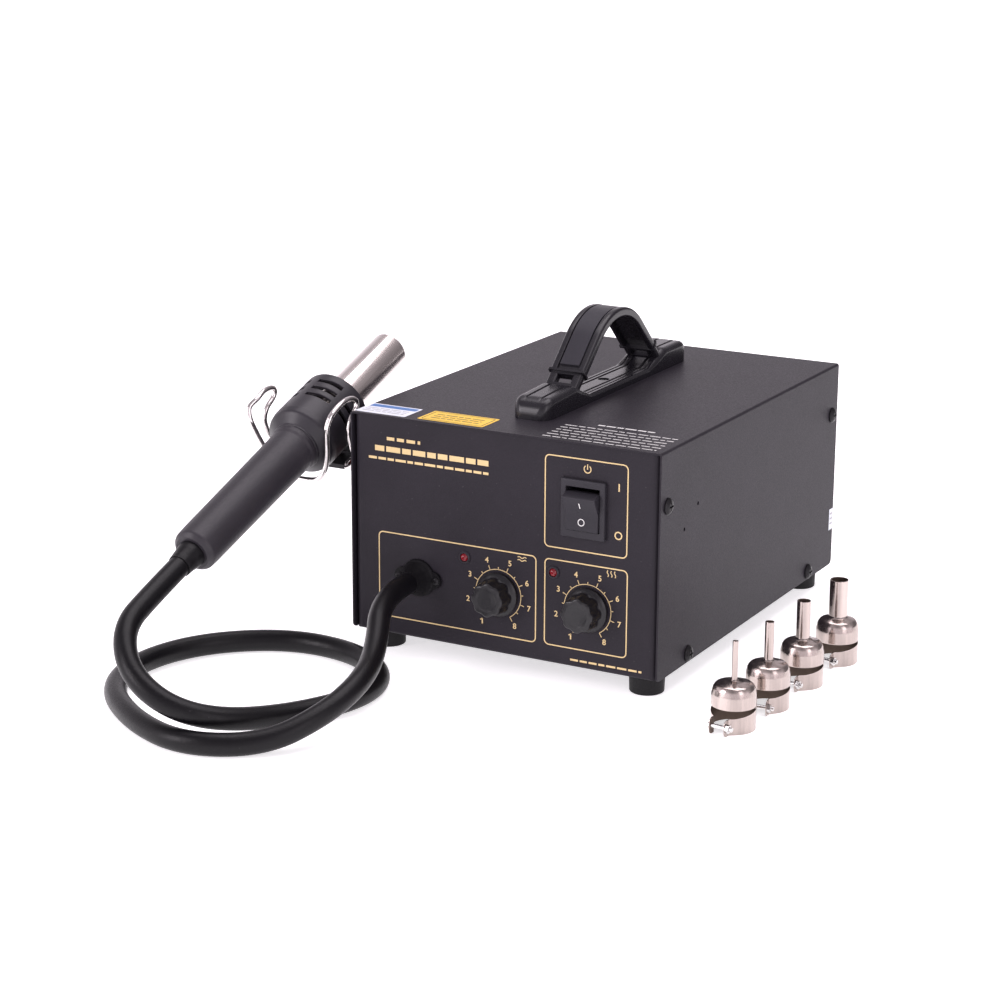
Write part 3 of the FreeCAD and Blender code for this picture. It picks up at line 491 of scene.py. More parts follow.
def make_head():
    """Turned shell with slots cut through its wall, each with its four sides."""
    heights = [z for row in SLOT_ROWS for z in row]
    profile = curve_points([(14.35, -1.0), (14.6, 0.2, 0.8), (20.2, 4.4, 3.0), (HEAD_RADIUS, 8.5, 3.0),
                            (HEAD_RADIUS, 12.0)])
    profile += [(HEAD_RADIUS, z) for z in heights]
    profile += curve_points([(HEAD_RADIUS, 40.0), (HEAD_RADIUS, HEAD_TOP, 1.5), (18.6, HEAD_TOP)])
    profile += [(11.25, HEAD_TOP), (11.25, 42.4), (HEAD_INSIDE, 42.4)]
    profile += [(HEAD_INSIDE, z) for z in reversed(heights)]
    profile += [(HEAD_INSIDE, 8.0), (17.0, 4.6), (11.4, 1.2), (11.4, -1.0)]
    n = len(profile)
    outer = [profile.index((HEAD_RADIUS, low)) for low, high in SLOT_ROWS]
    inner = [profile.index((HEAD_INSIDE, high)) for low, high in SLOT_ROWS]
    verts, faces = lathe(profile, HEAD_SEGMENTS, skip=lambda s, i: i in outer + inner and in_slot(s))
    for i, j in zip(outer, inner):
        for s in range(HEAD_SEGMENTS):
            if not in_slot(s):
                continue
            t = (s + 1) % HEAD_SEGMENTS
            a, b = s * n, t * n
            faces.append((a + i, b + i, b + j + 1, a + j + 1))
            faces.append((a + i + 1, a + j, b + j, b + i + 1))
            if not in_slot((s - 1) % HEAD_SEGMENTS):
                faces.append((a + i, a + j + 1, a + j, a + i + 1))
            if not in_slot(t):
                faces.append((b + i, b + i + 1, b + j, b + j + 1))
    head = make("handpiece_head_body", verts, faces, head_black, "handpiece",
                matrix=BARREL)
    bevelled(head, 0.35, 2, 50)
    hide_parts("handpiece_head")


make_head()


def make_pipe():
    profile = curve_points([
        (10.3, 14.0), (11.0, 14.0), (11.0, 105.8, 0.25), (10.3, 105.8, 0.25), (10.3, 14.0)], 4)
    verts, faces = lathe(profile[:-1], 128)
    pipe = make("heater_pipe_body", verts, faces, steel, "handpiece", matrix=BARREL)
    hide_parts("heater_pipe")


def sleeve_shape(i, theta, r, z):
    """Slightly uneven outside for the soft sleeve."""
    return r + 0.08 * math.sin(7 * theta + z) * (r > 6.5), z


def make_sleeve():
    profile = curve_points([
        (5.9, -118.4), (6.5, -118.5, 0.3), (6.9, -114.5, 4), (7.6, -110.0, 4), (8.0, -105.8),
        (5.9, -105.0)], 5)
    verts, faces = lathe(profile, 80, shape=sleeve_shape)
    sleeve = make("hose_sleeve_body", verts, faces, hose_black, "handpiece", matrix=BARREL)
    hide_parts("hose_sleeve")
    return sleeve


make_pipe()
make_hose(make_sleeve())


# ---------------------------------------------------------------- hanger wire
def smooth_route(points, steps=7):
    """Smooth bent wire through points."""
    pts = [Vector(p) for p in points]
    pts = [pts[0] * 2 - pts[1]] + pts + [pts[-1] * 2 - pts[-2]]
    out = []
    for a, b, c, d in zip(pts, pts[1:], pts[2:], pts[3:]):
        for k in range(steps):
            t = k / steps
            out.append(0.5 * (2 * b + (c - a) * t + (2 * a - 5 * b + 4 * c - d) * t * t
                              + (3 * b - a - 3 * c + d) * t ** 3))
    out.append(pts[-2])
    return out


WIRE_RADIUS = 0.0015
WIRE = [(6.0, -2.5, -19.9), (12.0, -2.5, -17.6), (17.2, -2.5, -11.0), (20.4, -2.5, -2.0), (22.4, -2.4, 8.0),
        (24.0, -1.8, 16.0), (25.2, 1.6, 20.8), (25.9, 8.0, 22.9), (26.3, 15.5, 23.1), (26.6, 22.5, 21.0),
        (27.0, 25.8, 17.6), (27.4, 23.6, 14.0), (27.8, 16.5, 11.4), (27.9, 12.2, 7.0), (27.7, 11.6, 1.0),
        (27.2, 12.8, -6.0), (25.3, 16.0, -14.0), (20.5, 19.0, -21.5), (14.5, 21.5, -26.0),
        (11.0, 26.0, -27.15), (11.0, 35.0, -27.15), (11.0, 45.0, -27.15)]
WIRE_MIDDLE = 1


def make_wire():
    """The cradle is one wire: its left half mirrors the right one, and leans out a little higher up."""
    left_half = []
    for x, s, h in reversed(WIRE):
        lean = 2.6 * min(1, max(0, (h + 8) / 20)) * (s < 8)
        left_half.append(on_piece(WIRE_MIDDLE - x - lean, s, h))
    right_half = [on_piece(WIRE_MIDDLE + x, s, h) for x, s, h in WIRE]
    verts, faces = tube_mesh(smooth_route(left_half + right_half), WIRE_RADIUS, sides=24)
    wire = make("hanger_wire_body", verts, faces, chrome, "station", smooth=60)
    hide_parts("hanger_wire")


make_wire()


# ---------------------------------------------------------------- knobs
KNOB_SEGMENTS = 192
KNOB_LOBES = 8


def knob_shape(i, theta, r, z):
    """Rounded lobes on the cap; the skirt below stays round."""
    lobe = (1 - math.cos(KNOB_LOBES * theta)) / 2
    share = min(1, max(0, (z - 2.6) / 2.2))
    share = share * share * (3 - 2 * share) * min(1, max(0, (r - 5.6) / 3.2))
    return r - 0.85 * share * lobe ** 1.4, z


def make_knob(node, body):
    """Knob turned about its own axis, which points out of the panel."""
    low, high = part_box(node)
    centre = (low + high) / 2
    profile = curve_points([
        (7.3, 0.0), (12.1, 0.0, 0.3), (12.2, 1.6, 0.6), (11.2, 2.6, 0.8), (10.2, 3.4, 0.8), (9.9, 5.0, 2),
        (9.8, 8.0, 5), (9.5, 13.0, 1.5), (6.6, 13.25, 0.5), (5.2, 13.0, 0.5), (3.0, 12.75, 1),
        (0.02, 12.7)], 7)
    dense = []
    for a, b in zip(profile, profile[1:]):
        steps = max(1, round(math.dist(a, b) / 0.5))
        for k in range(steps):
            dense.append((a[0] + (b[0] - a[0]) * k / steps, a[1] + (b[1] - a[1]) * k / steps))
    dense.append(profile[-1])
    verts, faces = lathe(dense, KNOB_SEGMENTS, shape=knob_shape, close=False)
    place = matrix_from(Vector((1, 0, 0)), Vector((0, 0, 1)), Vector((0, -1, 0)),
                        Vector((centre.x, high.y, centre.z)))
    knob = make(node + "_body", verts, faces, knob_black, body, smooth=60, matrix=place)
    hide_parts(node)


make_knob("air_knob", "air_dial")
make_knob("heater_knob", "heater_dial")


# ---------------------------------------------------------------- printed marks
PRINT_LIFT = 0.00006
PRINT_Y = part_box("chassis")[0].y - PRINT_LIFT


def flat(name, polygons, look, place):
    """Flat marks from outlines in mm; place takes the two numbers of a point to its place in the frame."""
    verts, faces = [], []
    for polygon in polygons:
        start = len(verts)
        turn = sum(a[0] * b[1] - b[0] * a[1] for a, b in zip(polygon, polygon[1:] + polygon[:1]))
        if turn < 0:
            polygon = polygon[::-1]
        verts += [place(*point) for point in polygon]
        faces.append(tuple(range(start, start + len(polygon))))
    make(name, verts, faces, look, "station", smooth=None)


def on_panel(x, z):
    return x * MM, PRINT_Y, z * MM


def rounded_corners(x0, x1, z0, z1, r, steps=6):
    """Outline of a rectangle with round corners."""
    centres = ((x1 - r, z1 - r, 0), (x0 + r, z1 - r, 90), (x0 + r, z0 + r, 180), (x1 - r, z0 + r, 270))
    out = []
    for cx, cz, start in centres:
        for k in range(steps + 1):
            a = math.radians(start + 90 * k / steps)
            out.append((cx + r * math.cos(a), cz + r * math.sin(a)))
    return out


def frame_strip(x0, x1, z0, z1, r, width):
    """Quads of a rectangular line with round corners."""
    outer = rounded_corners(x0 - width / 2, x1 + width / 2, z0 - width / 2, z1 + width / 2, r + width / 2)
    inner = rounded_corners(x0 + width / 2, x1 - width / 2, z0 + width / 2, z1 - width / 2, r - width / 2)
    n = len(outer)
    return [[outer[i], outer[(i + 1) % n], inner[(i + 1) % n], inner[i]] for i in range(n)]


def arc_strip(cx, cz, radius, start, end, width, steps=60):
    """Quads of an arc, with its angles in degrees from straight up."""
    out = []
    for k in range(steps):
        a = math.radians(start + (end - start) * k / steps)
        b = math.radians(start + (end - start) * (k + 1) / steps)
        lo, hi = radius - width / 2, radius + width / 2
        corners = ((lo, a), (hi, a), (hi, b), (lo, b))
        out.append([(cx + r * math.sin(angle), cz + r * math.cos(angle)) for r, angle in corners])
    return out


def bar(x0, z0, x1, z1, width):
    """Straight stroke from one point to another."""
    d = Vector((x1 - x0, z1 - z0)).normalized()
    n = Vector((-d.y, d.x)) * width / 2
    return [(x0 + n.x, z0 + n.y), (x1 + n.x, z1 + n.y), (x1 - n.x, z1 - n.y), (x0 - n.x, z0 - n.y)]


def dashes(x0, x1, y, width, seed, gap=0.9, short=2.5, long=7.5):
    """Row of plain dashes of different lengths."""
    rnd = random.Random(seed)
    out = []
    x = x0
    while x < x1 - 1:
        end = min(x1, x + rnd.uniform(short, long))
        out.append(bar(x, y, end, y, width))
        x = end + gap
    return out


def print_frames():
    strips = []
    for x0, x1, z0, z1 in ((-76.4, 21.0, 21.5, 69.5), (26.1, 74.2, 76.3, 126.2), (26.4, 74.8, 21.8, 69.5)):
        strips += frame_strip(x0, x1, z0, z1, 2.6, 0.65)
    flat("panel_frames", strips, gold, on_panel)


print_frames()

DIAL_SWEEP = 148.75
DIAL_STEPS = 7
DIAL_RADIUS = 13.8
DIGIT_RADIUS = 19.4
DIGIT_SIZE = 4.4
DIGIT_BOLD = 0.00007


def digit(text, x, z):
    """Verts and faces of one figure; the 1 is drawn with its flag."""
    if text == "1":
        h = DIGIT_SIZE * 0.36
        strokes = [bar(x + 0.3, z - h, x + 0.3, z + h, 0.75),
                   bar(x + 0.45, z + h, x - 0.85, z + h - 0.95, 0.62)]
        verts = [on_panel(*point) for stroke in strokes for point in stroke[::-1]]
        return verts, [(0, 1, 2, 3), (4, 5, 6, 7)]
    data = bpy.data.curves.new("digit", "FONT")
    data.body = text
    data.size = DIGIT_SIZE * MM
    data.offset = DIGIT_BOLD
    data.align_x = "CENTER"
    data.align_y = "CENTER"
    obj = bpy.data.objects.new("digit", data)
    bpy.context.scene.collection.objects.link(obj)
    bpy.context.view_layer.update()
    mesh = bpy.data.meshes.new_from_object(obj)
    bpy.data.objects.remove(obj)
    bpy.data.curves.remove(data)
    verts = [(v.co.x + x * MM, PRINT_Y, v.co.y + z * MM) for v in mesh.vertices]
    faces = [tuple(p.vertices) for p in mesh.polygons]
    bpy.data.meshes.remove(mesh)
    return verts, faces


def dial_point(cx, cz, radius, angle):
    return cx + radius * math.sin(math.radians(angle)), cz + radius * math.cos(math.radians(angle))


def dial_print(name, cx, cz):
    """Scale round a knob: an arc, long marks at the figures and short ones between them."""
    marks = arc_strip(cx, cz, DIAL_RADIUS, -DIAL_SWEEP, DIAL_SWEEP, 0.4)
    gap = 2 * DIAL_SWEEP / DIAL_STEPS
    for k in range(2 * DIAL_STEPS + 1):
        a = -DIAL_SWEEP + gap / 2 * k
        reach = 16.4 if k % 2 == 0 else 15.2
        marks.append(bar(*dial_point(cx, cz, DIAL_RADIUS, a), *dial_point(cx, cz, reach, a), 0.42))
    flat(name + "_scale", marks, gold, on_panel)
    figures = []
    for k in range(DIAL_STEPS + 1):
        figures.append(digit(str(k + 1), *dial_point(cx, cz, DIGIT_RADIUS, -DIAL_SWEEP + gap * k)))
    verts, faces = joined(figures)
    make(name + "_numbers", verts, faces, gold, "station", smooth=None)


for name, node in (("air", "air_knob"), ("heater", "heater_knob")):
    low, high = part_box(node)
    dial_print(name + "_dial", (low.x + high.x) / 2 / MM, (low.z + high.z) / 2 / MM)


def wave(x, z, length, count, upright):
    """Wavy stroke, for the air and heat symbols."""
    steps = 14
    points = []
    for k in range(steps + 1):
        t = k / steps
        off = 0.4 * math.sin(2 * math.pi * t * count)
        points.append((x + off, z + t * length) if upright else (x + t * length, z + off))
    return [bar(*a, *b, 0.5) for a, b in zip(points, points[1:])]


def print_symbols():
    """Power ring, on and off marks beside the switch, heat and air waves over the dials."""
    strokes = arc_strip(50.8, 121.2, 2.0, 35, 325, 0.55, 24) + [bar(50.8, 121.0, 50.8, 123.9, 0.55)]
    strokes += [bar(69.2, 111.6, 69.2, 115.8, 0.75)]
    strokes += arc_strip(69.2, 87.9, 1.9, 0, 360, 0.7, 28)
    for k in range(3):
        strokes += wave(63.5 + 2.1 * k, 64.8, 3.4, 1, True)
    for k in range(2):
        strokes += wave(10.0, 65.9 + 1.6 * k, 5.2, 1.5, False)
    flat("panel_symbols", strokes, gold, on_panel)


def print_dashes():
    """Rows of plain dashes in the corners of the panel."""
    rows = dashes(-71.0, -50.0, 122.3, 1.8, 7, 1.6, 4.2, 6.0)
    rows += dashes(-78.5, -8.0, 116.4, 3.0, 8, 1.2, 5.0, 9.0)
    rows += dashes(-82.5, -8.0, 110.8, 1.4, 9, 1.0, 3.5, 7.0)
    rows += dashes(42.0, 84.0, 15.5, 1.1, 10, 1.0, 3.0, 6.0)
    flat("panel_dashes", rows, gold, on_panel)


print_symbols()
print_dashes()


# ---------------------------------------------------------------- pieces refined from their CAD shape
def refined(node, body, look, width):
    """Copy of a CAD node's mesh with rounded edges, standing for the node."""
    source = nodes[node]
    mesh = source.data.copy()
    mesh.name = node + "_body"
    obj = bpy.data.objects.new(node + "_body", mesh)
    bpy.context.scene.collection.objects.link(obj)
    obj.matrix_world = source.matrix_world
    bm = bmesh.new()
    bm.from_mesh(mesh)
    bmesh.ops.remove_doubles(bm, verts=bm.verts, dist=2e-6)
    bmesh.ops.dissolve_limit(bm, angle_limit=math.radians(0.5), verts=bm.verts, edges=bm.edges)
    bmesh.ops.recalc_face_normals(bm, faces=bm.faces)
    bm.to_mesh(mesh)
    bm.free()
    mesh.materials.clear()
    mesh.materials.append(look)
    smooth_shading(mesh, 35)
    bevelled(obj, width, 3, 30)
    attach(obj, body)
    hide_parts(node)


# ---------------------------------------------------------------- carrying handle
base_low, base_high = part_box("handle_base")
HANDLE_MIDDLE = -2.0
STRAP_RADIUS = 40.3
STRAP_ANGLE = math.radians(43)
STRAP_CENTRE = base_low.z / MM + 46.5 - STRAP_RADIUS
GROOVE_X, GROOVE_WIDTH, GROOVE_DEPTH = 4.6, 0.42, 1.5
STEP_X, STEP_WIDTH, STEP_DEPTH = 7.6, 0.35, 0.9
END_REACH = 9.0
END_RADIUS = 5.5
END_FALL = 8.4


def base_top(y):
    """Height of the base along its length, its corners softened."""
    line = [(-92.0, 10.6), (-86.0, 11.2), (-57.0, 12.6), (-39.0, 4.6), (36.0, 4.6), (57.0, 12.6),
            (88.0, 12.6)]
    return float(np.mean([np.interp(y + d, *zip(*line)) for d in (-1.6, -0.8, 0, 0.8, 1.6)]))


def make_handle_base():
    """Moulded base: round ends and edges, two long grooves, two more along its low part, and a hole."""
    y0, y1, half = base_low.y / MM, base_high.y / MM, base_high.x / MM
    ends = [END_REACH * (1 - math.cos(math.radians(7.5 * k))) for k in range(12)]
    stations = [y0 + e for e in ends] + list(np.arange(y0 + END_REACH, y1 - END_REACH, 0.9))
    stations += [y1 - e for e in reversed(ends)]
    side = [11.2, 11.15, 11.0, 10.7, 10.3, 9.8, 9.2, 8.6, 8.2, 7.9, 7.6, 7.3, 7.0, 6.2, 5.5, 5.1, 4.85, 4.6,
            4.35, 4.1, 3.7, 3.0, 2.0, 1.0]
    across = [-x for x in side] + [0.0] + side[::-1]
    rings = []
    for y in stations:
        near, far = (y0 + END_REACH - y) / END_REACH, (y - y1 + END_REACH) / END_REACH
        turn = min(1.0, max(0.0, near, far))
        width = half - END_RADIUS + END_RADIUS * math.sqrt(1 - turn * turn)
        end_fade = min(1.0, max(0.0, min(y - y0 - 5.0, y1 - 4 - y) / 5.0))
        raised = min(1.0, max(0.0, (base_top(y) - 5.0) / 5.0))
        corner = 2.0 + 1.6 * raised
        ring = [(-width * MM, y * MM, base_low.z)]
        for x in across:
            a = abs(x)
            h = base_top(y) - END_FALL * (1 - math.sqrt(1 - turn * turn))
            h -= corner - math.sqrt(max(0.0, corner ** 2 - max(0.0, a - (half - corner)) ** 2))
            h -= GROOVE_DEPTH * end_fade * math.exp(-((a - GROOVE_X) / GROOVE_WIDTH) ** 2)
            h -= (1 - raised) * STEP_DEPTH * math.exp(-((a - STEP_X) / STEP_WIDTH) ** 2)
            ring.append((x * width / half * MM, y * MM, base_low.z + max(0.6, h) * MM))
        ring.append((width * MM, y * MM, base_low.z))
        rings.append(ring)
    verts, faces = skin(rings)
    base = make("handle_base_body", verts, faces, handle_black, "station", smooth=42)
    hole = bpy.data.meshes.new("hole")
    bm = bmesh.new()
    bmesh.ops.create_cone(bm, cap_ends=True, segments=40, radius1=0.0033, radius2=0.0033, depth=0.006,
                          matrix=Matrix.Translation((0, HANDLE_MIDDLE * MM, base_low.z + 0.0056)))
    bm.to_mesh(hole)
    bm.free()
    cutter = bpy.data.objects.new("hole", hole)
    bpy.context.scene.collection.objects.link(cutter)
    cut_away(base, cutter)
    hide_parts("handle_base")


def strap_point(x, v, at):
    """Point of the strap: x across it, v out from its radius, at = (side, run down the leg) or (0, angle)."""
    side, run = at
    r = STRAP_RADIUS + v
    if side == 0:
        y, z = r * math.sin(run), r * math.cos(run)
    else:
        y = side * (r * math.sin(STRAP_ANGLE) + run * math.cos(STRAP_ANGLE))
        z = r * math.cos(STRAP_ANGLE) - run * math.sin(STRAP_ANGLE)
    return (x * MM, (HANDLE_MIDDLE + y) * MM, (STRAP_CENTRE + z) * MM)


def strap_skin(section, places):
    return skin([[strap_point(x, v, at) for x, v in section] for at in places])


def make_handle_grip():
    """Arched strap with a channel inside, and at each end a lip, a foot and two posts."""
    half = curve_points([(0, -1.3), (6.6, -1.3), (6.6, 0, 0.6), (10.5, 0, 2.0), (10.5, -5.5, 1.7),
                         (7.6, -5.5, 0.7), (7.6, -3.3, 0.3), (0, -3.3)], 6)
    section = half + [(-x, v) for x, v in reversed(half[1:-1])]
    places = [(-1, 25.2), (-1, 12.0)]
    places += [(0, -STRAP_ANGLE + 2 * STRAP_ANGLE * k / 64) for k in range(65)] + [(1, 12.0), (1, 25.2)]
    pieces = [strap_skin(section, places)]
    lip = rounded_corners(-11.1, 11.1, -6.0, 0.8, 0.7, 4)
    foot = rounded_corners(-10.0, 10.0, -5.3, -0.3, 1.7, 6)
    post = rounded_corners(4.4, 10.0, -5.3, -0.3, 1.6, 6)
    for side in (-1, 1):
        pieces.append(strap_skin(lip, [(side, 24.6), (side, 26.0)]))
        pieces.append(strap_skin(foot, [(side, 25.8), (side, 27.4)]))
        pieces.append(strap_skin(post, [(side, 27.3), (side, 33.2)]))
        pieces.append(strap_skin([(-x, v) for x, v in post], [(side, 27.3), (side, 33.2)]))
        pieces.append(strap_skin(foot, [(side, 33.1), (side, 42.5)]))
    verts, faces = joined(pieces)
    grip = make("handle_grip_body", verts, faces, handle_black, "station", smooth=42)
    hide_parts("handle_grip")


make_handle_base()
make_handle_grip()


# ---------------------------------------------------------------- hose gland
GLAND_X, GLAND_FACE, GLAND_Z = -51.3, -121.5, 46.5


def make_gland():
    """Tapered collar for the hose on a flat plate with round ends."""
    profile = curve_points([(5.7, 11.5), (6.25, 11.5, 0.2), (6.6, 9.4, 6), (8.0, 5.0, 8), (9.4, 2.2, 2),
                            (10.4, 1.3, 0.5), (10.6, -0.2)], 6)
    turned, faces = lathe(profile, close=False)
    collar = [((GLAND_X * MM) + x, GLAND_FACE * MM - z, GLAND_Z * MM + y) for x, y, z in turned]
    rim = rounded_corners(-14.4, 14.4, -5.0, 5.0, 4.9, 8)
    rings = []
    for height in (0.0, 1.4, 1.7):
        rings.append([((GLAND_X + x) * MM, (GLAND_FACE - height) * MM, (GLAND_Z + z) * MM) for x, z in rim])
    verts, faces = joined([(collar, faces), skin(rings)])
    gland = make("hose_gland_body", verts, faces, gland_black, "station", smooth=42)
    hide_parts("hose_gland")


make_gland()


# ---------------------------------------------------------------- power switch
refined("switch_housing", "station", switch_black, 0.25)
refined("switch_rocker", "rocker", switch_black, 0.35)

PIVOT = Vector(joint_named("power_rocker")["pos_m"])
TILT = math.radians(13)
ROCKER_DEPTH = 7.2
ROCKER_RUN = 9.6
ROCKER_RISE = 2.4
INK_LIFT = 0.05


def rocker_point(x, y, z):
    """From the rocker's own section, in mm about its pivot, to its tilted place in the frame."""
    turned_y = y * math.cos(TILT) - z * math.sin(TILT)
    turned_z = y * math.sin(TILT) + z * math.cos(TILT)
    return PIVOT + Vector((x, turned_y, turned_z)) * MM


def rocker_marks():
    """Bar on the rocker's upper face, ring on its lower face."""
    verts, faces = [], []

    def put(polygon, sign):
        slope = Vector((0, -ROCKER_RISE, ROCKER_RUN * sign)).normalized()
        normal = Vector((0, -ROCKER_RUN, -ROCKER_RISE * sign)).normalized()
        base = Vector((0, -ROCKER_DEPTH, 0)) + slope * 5.0 + normal * INK_LIFT
        start = len(verts)
        for x, h in polygon:
            p = base + slope * (h * sign)
            verts.append(rocker_point(x, p.y, p.z))
        faces.append(tuple(range(start, start + len(polygon))))

    put(bar(0, -1.7, 0, 1.7, 0.55), 1)
    for quad in arc_strip(0, 0, 1.75, 0, 360, 0.5, 32):
        put(quad, -1)
    make("rocker_marks", verts, faces, white_ink, "rocker", smooth=None)


rocker_marks()


# ---------------------------------------------------------------- nozzles
NOZZLE_COLUMNS = 180
NOZZLE_STEP = 360.0 / NOZZLE_COLUMNS
NOZZLE_RADIUS = 11.7
NOZZLE_SHEET = 0.45
NOZZLE_TUBE = {1: 1.5, 2: 2.4, 3: 3.65, 4: 5.05}
NOZZLE_EARS = {1: (-0.125, -0.992), 2: (0.097, -0.995), 3: (-0.093, -0.996), 4: (-0.1, -0.995)}
BAND_HEIGHT = 11.2
BAND_OPENING = 50
SLIT_REACH = 110
BAND_SHARES = [0.0, 0.04, 0.25, 0.5, 0.75, 0.96, 1.0]
EAR_ROUND = 2.5
EAR_ROUND_START = 14.1
EAR_Y = 4.6
EAR_PATH = [(8.3, 8.3), (9.28, 7.48), (10.0, 6.75), (10.6, 6.1), (11.1, 5.5), (11.5, 5.0), (11.8, 4.76)]
EAR_PATH += [(x, EAR_Y) for x in (12.2, 13.2, 14.1, 14.8, 15.4, 15.9, 16.3, 16.6)]


def band_top(x):
    """Height of the clamp band's sloping upper edge."""
    return BAND_HEIGHT - 0.1815 * (min(x, 9.5) + 4.0)


def off_front(s):
    """Angle in degrees between column s of the nozzle and the middle of its clamp's opening."""
    return abs((s * NOZZLE_STEP + 180) % 360 - 180)


def nozzle_ears(verts, faces, rows):
    """Add the two ears, which bend out of the band at the sides of its opening."""
    for side in (1, -1):
        column = round(BAND_OPENING / NOZZLE_STEP)
        if side < 0:
            column = NOZZLE_COLUMNS - column
        before = [column * rows + i for i in range(len(BAND_SHARES))]
        for x, y in EAR_PATH:
            top, bottom = band_top(x), 0.0
            if x > EAR_ROUND_START:
                drop = EAR_ROUND - math.sqrt(max(0.0, EAR_ROUND ** 2 - (x - EAR_ROUND_START) ** 2))
                top, bottom = top - drop, drop
            here = []
            for share in BAND_SHARES:
                here.append(len(verts))
                verts.append((x * MM, side * y * MM, (bottom + (top - bottom) * share) * MM))
            for k in range(len(BAND_SHARES) - 1):
                quad = (before[k], here[k], here[k + 1], before[k + 1])
                faces.append(quad if side < 0 else quad[::-1])
            before = here


def make_nozzle(number):
    """Dome and tube over a clamp band, which a slit parts from the dome for most of the way round."""
    mount = next(m for m in frame["record"]["mounts"] if m["name"] == "nozzle_%d_clamp" % number)
    x, y, _ = mount["pos_m"]
    tube = NOZZLE_TUBE[number]
    turn = math.atan2(NOZZLE_EARS[number][1], NOZZLE_EARS[number][0])
    shoulder = max(tube + 1.6, 5.0)
    dome = curve_points([
        (NOZZLE_RADIUS, 12.6), (NOZZLE_RADIUS, 13.2), (NOZZLE_RADIUS, 18.6, 6.0), (10.9, 22.0, 4.0),
        (9.6, 23.9, 3.0), (shoulder, 25.0, 4.0), (tube + 0.6, 25.4, 0.4), (tube, 26.2, 0.4), (tube, 30.0),
        (tube, 38.0), (tube, 46.2), (tube - 0.05, 46.5)], 6)
    rows = len(BAND_SHARES) + len(dome)
    verts, faces = [], []
    for s in range(NOZZLE_COLUMNS):
        a = math.radians(s * NOZZLE_STEP)
        edge = band_top(NOZZLE_RADIUS * math.cos(a)) if off_front(s) < SLIT_REACH - 0.1 else BAND_HEIGHT
        for r, z in [(NOZZLE_RADIUS, edge * share) for share in BAND_SHARES] + dome:
            verts.append((r * math.cos(a) * MM, r * math.sin(a) * MM, z * MM))
    for s in range(NOZZLE_COLUMNS):
        t = (s + 1) % NOZZLE_COLUMNS
        middle = (off_front(s) + off_front(t)) / 2
        for i in range(rows - 1):
            if middle < BAND_OPENING and i < len(BAND_SHARES):
                continue
            if middle < SLIT_REACH and i == len(BAND_SHARES) - 1:
                continue
            faces.append((s * rows + i, t * rows + i, t * rows + i + 1, s * rows + i + 1))
    nozzle_ears(verts, faces, rows)
    place = Matrix.Translation((x, y, 0)) @ Matrix.Rotation(turn, 4, "Z")
    obj = make("nozzle_%d_body" % number, verts, faces, nickel, "nozzle_%d_set" % number,
               smooth=40, matrix=place)
    # The solidified inner shell takes the dark inner material: painted shade inside the nozzle.
    obj.data.materials.append(painted_shade_inside)
    thick = obj.modifiers.new("thickness", "SOLIDIFY")
    thick.thickness = NOZZLE_SHEET * MM
    thick.offset = -1
    thick.material_offset = 1
    bevelled(obj, 0.1, 2, 60)
    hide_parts("nozzle_%d" % number)


for number in NOZZLE_TUBE:
    make_nozzle(number)


# ---------------------------------------------------------------- stickers and printed block on the case
CASE_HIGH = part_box("cover")[1]
COVER_PRINT_Z = CASE_HIGH.z + 0.00008
STICKER_PRINT_Z = COVER_PRINT_Z + 0.00005
SIDE_X = CASE_HIGH.x + 0.00006
SIDE_PRINT_X = SIDE_X + 0.00004


def on_cover(x, y):
    return x * MM, y * MM, COVER_PRINT_Z


def on_sticker(x, y):
    return x * MM, y * MM, STICKER_PRINT_Z


def on_side(y, z):
    return SIDE_X, y * MM, z * MM


def on_side_sticker(y, z):
    return SIDE_PRINT_X, y * MM, z * MM


def rectangle(x0, x1, y0, y1):
    return [(x0, y0), (x1, y0), (x1, y1), (x0, y1)]


def make_stickers():
    """Blue, yellow and side stickers and the printed block on the cover, all with plain dashes."""
    flat("blue_sticker", [rounded_corners(-92.4, -60.7, -120.0, -100.0, 1.0)], label_white, on_cover)
    flat("blue_sticker_band", [rounded_corners(-91.0, -62.0, -106.5, -101.5, 0.6)], label_blue, on_sticker)
    rows = []
    for k, y in enumerate((-109.5, -112.5, -115.5)):
        rows += dashes(-90.0, -64.0, y, 1.1, 20 + k)
    flat("blue_sticker_rows", rows, label_grey, on_sticker)
    flat("yellow_sticker", [rounded_corners(-53.6, -13.3, -119.0, -99.0, 1.0)], label_yellow, on_cover)
    rows = frame_strip(-51.8, -15.1, -117.3, -100.7, 1.0, 0.5)
    for k, y in enumerate((-105.5, -109.2, -112.9)):
        rows += dashes(-48.5, -19.0, y, 1.0, 40 + k)
    flat("yellow_sticker_rows", rows, label_ink, on_sticker)
    rows = dashes(38.0, 72.0, -84.0, 1.9, 60)
    for k in range(6):
        rows += dashes(22.0, 88.0, -91.5 - 5.2 * k, 1.15, 70 + k, 1.1)
    flat("top_print", rows, white_ink, on_cover)
    flat("side_sticker", [rectangle(116.3, 122.2, 33.5, 46.5)], label_white, on_side)
    rows = [rectangle(117.3, 121.2, 37.0 + 3.0 * k, 38.0 + 3.0 * k) for k in range(3)]
    flat("side_sticker_rows", rows, label_grey, on_side_sticker)


make_stickers()


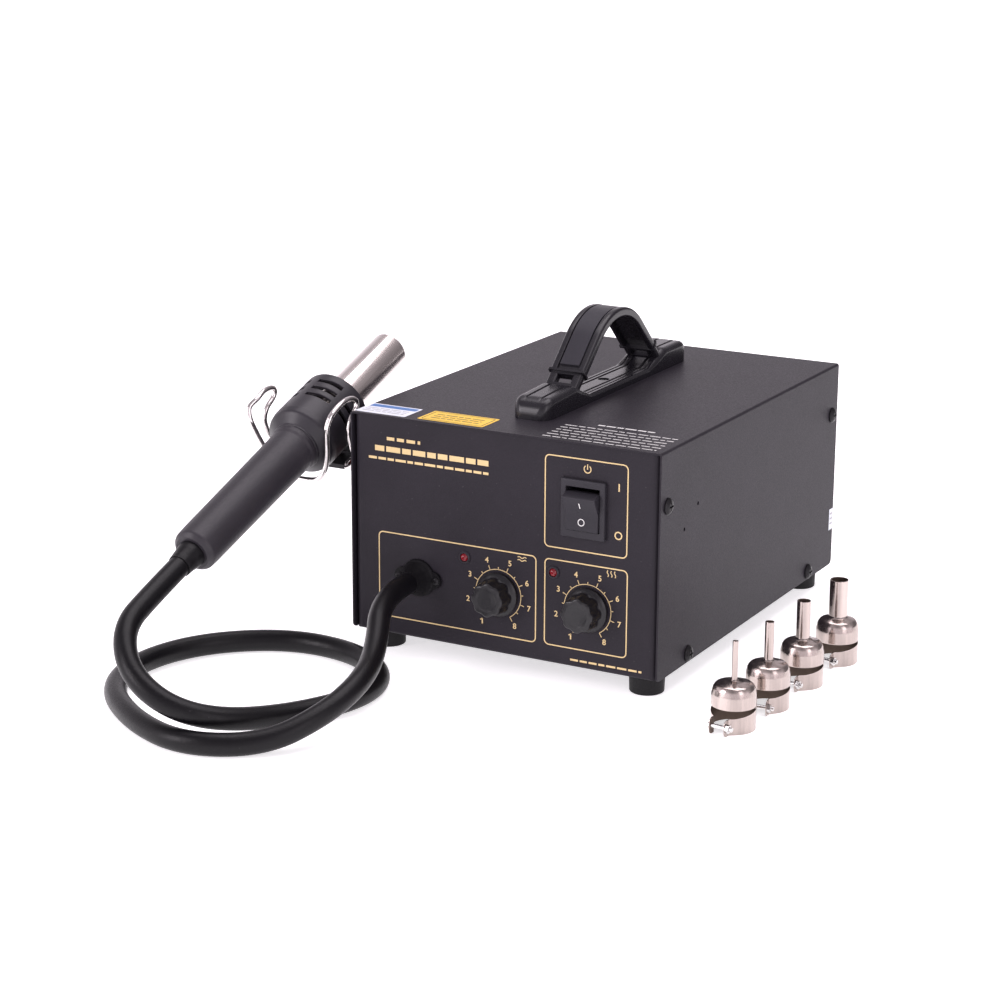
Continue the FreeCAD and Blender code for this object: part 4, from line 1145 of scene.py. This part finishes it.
# ---------------------------------------------------------------- floor and light
def make_floor():
    mesh = bpy.data.meshes.new("floor")
    mesh.from_pydata([(-14, -14, 0), (14, -14, 0), (14, 14, 0), (-14, 14, 0)], [], [(0, 1, 2, 3)])
    look = bpy.data.materials.new("floor_white")
    look.use_nodes = True
    bsdf = look.node_tree.nodes["Principled BSDF"]
    bsdf.inputs["Base Color"].default_value = (0.93, 0.93, 0.93, 1)
    bsdf.inputs["Roughness"].default_value = 0.75
    bsdf.inputs["Specular IOR Level"].default_value = 0.2
    bsdf.inputs["Emission Color"].default_value = (1, 0.98, 1, 1)
    bsdf.inputs["Emission Strength"].default_value = 0.64
    mesh.materials.append(look)
    floor = bpy.data.objects.new("floor", mesh)
    bpy.context.scene.collection.objects.link(floor)


make_floor()

LIGHT_COLOUR = (1, 0.94, 0.99)


def softbox(name, location, target, size, power):
    data = bpy.data.lights.new(name, "AREA")
    data.shape = "RECTANGLE"
    data.size, data.size_y = size
    data.energy = power
    data.color = LIGHT_COLOUR
    light = bpy.data.objects.new(name, data)
    bpy.context.scene.collection.objects.link(light)
    away = (Vector(location) - Vector(target)).normalized()
    light.matrix_world = Matrix.Translation(location) @ away.to_track_quat("Z", "Y").to_matrix().to_4x4()


softbox("top_light", (0.1, 0.3, 1.9), (0.0, 0.0, 0.05), (2.0, 1.4), 27)
softbox("left_light", (-1.15, -1.6, 0.85), (0.0, -0.1, 0.1), (0.7, 1.2), 17)
softbox("right_light", (1.7, -0.9, 0.9), (0.05, -0.1, 0.1), (0.7, 1.4), 6)


def make_sky():
    """White walls around the table, dimmer towards the ceiling and behind the object's rear right corner."""
    world = bpy.data.worlds.new("studio")
    world.use_nodes = True
    tree = world.node_tree
    way = tree.nodes.new("ShaderNodeTexCoord").outputs["Generated"]
    split = tree.nodes.new("ShaderNodeSeparateXYZ")
    tree.links.new(way, split.inputs["Vector"])
    height = spread_over(tree, split.outputs["Z"], 0.15, 0.75, 1.2, 0.46, "SMOOTHSTEP")
    side = tree.nodes.new("ShaderNodeVectorMath")
    side.operation = "DOT_PRODUCT"
    side.inputs[1].default_value = (0.48, 0.88, 0)
    tree.links.new(way, side.inputs[0])
    corner = spread_over(tree, side.outputs["Value"], 0.6, 0.95, 1.0, 0.2, "SMOOTHSTEP")
    both = tree.nodes.new("ShaderNodeMath")
    both.operation = "MULTIPLY"
    tree.links.new(height, both.inputs[0])
    tree.links.new(corner, both.inputs[1])
    background = tree.nodes["Background"]
    background.inputs["Color"].default_value = (1, 0.925, 0.995, 1)
    tree.links.new(both.outputs["Value"], background.inputs["Strength"])
    bpy.context.scene.world = world


make_sky()
bpy.context.scene.view_settings.view_transform = "Standard"
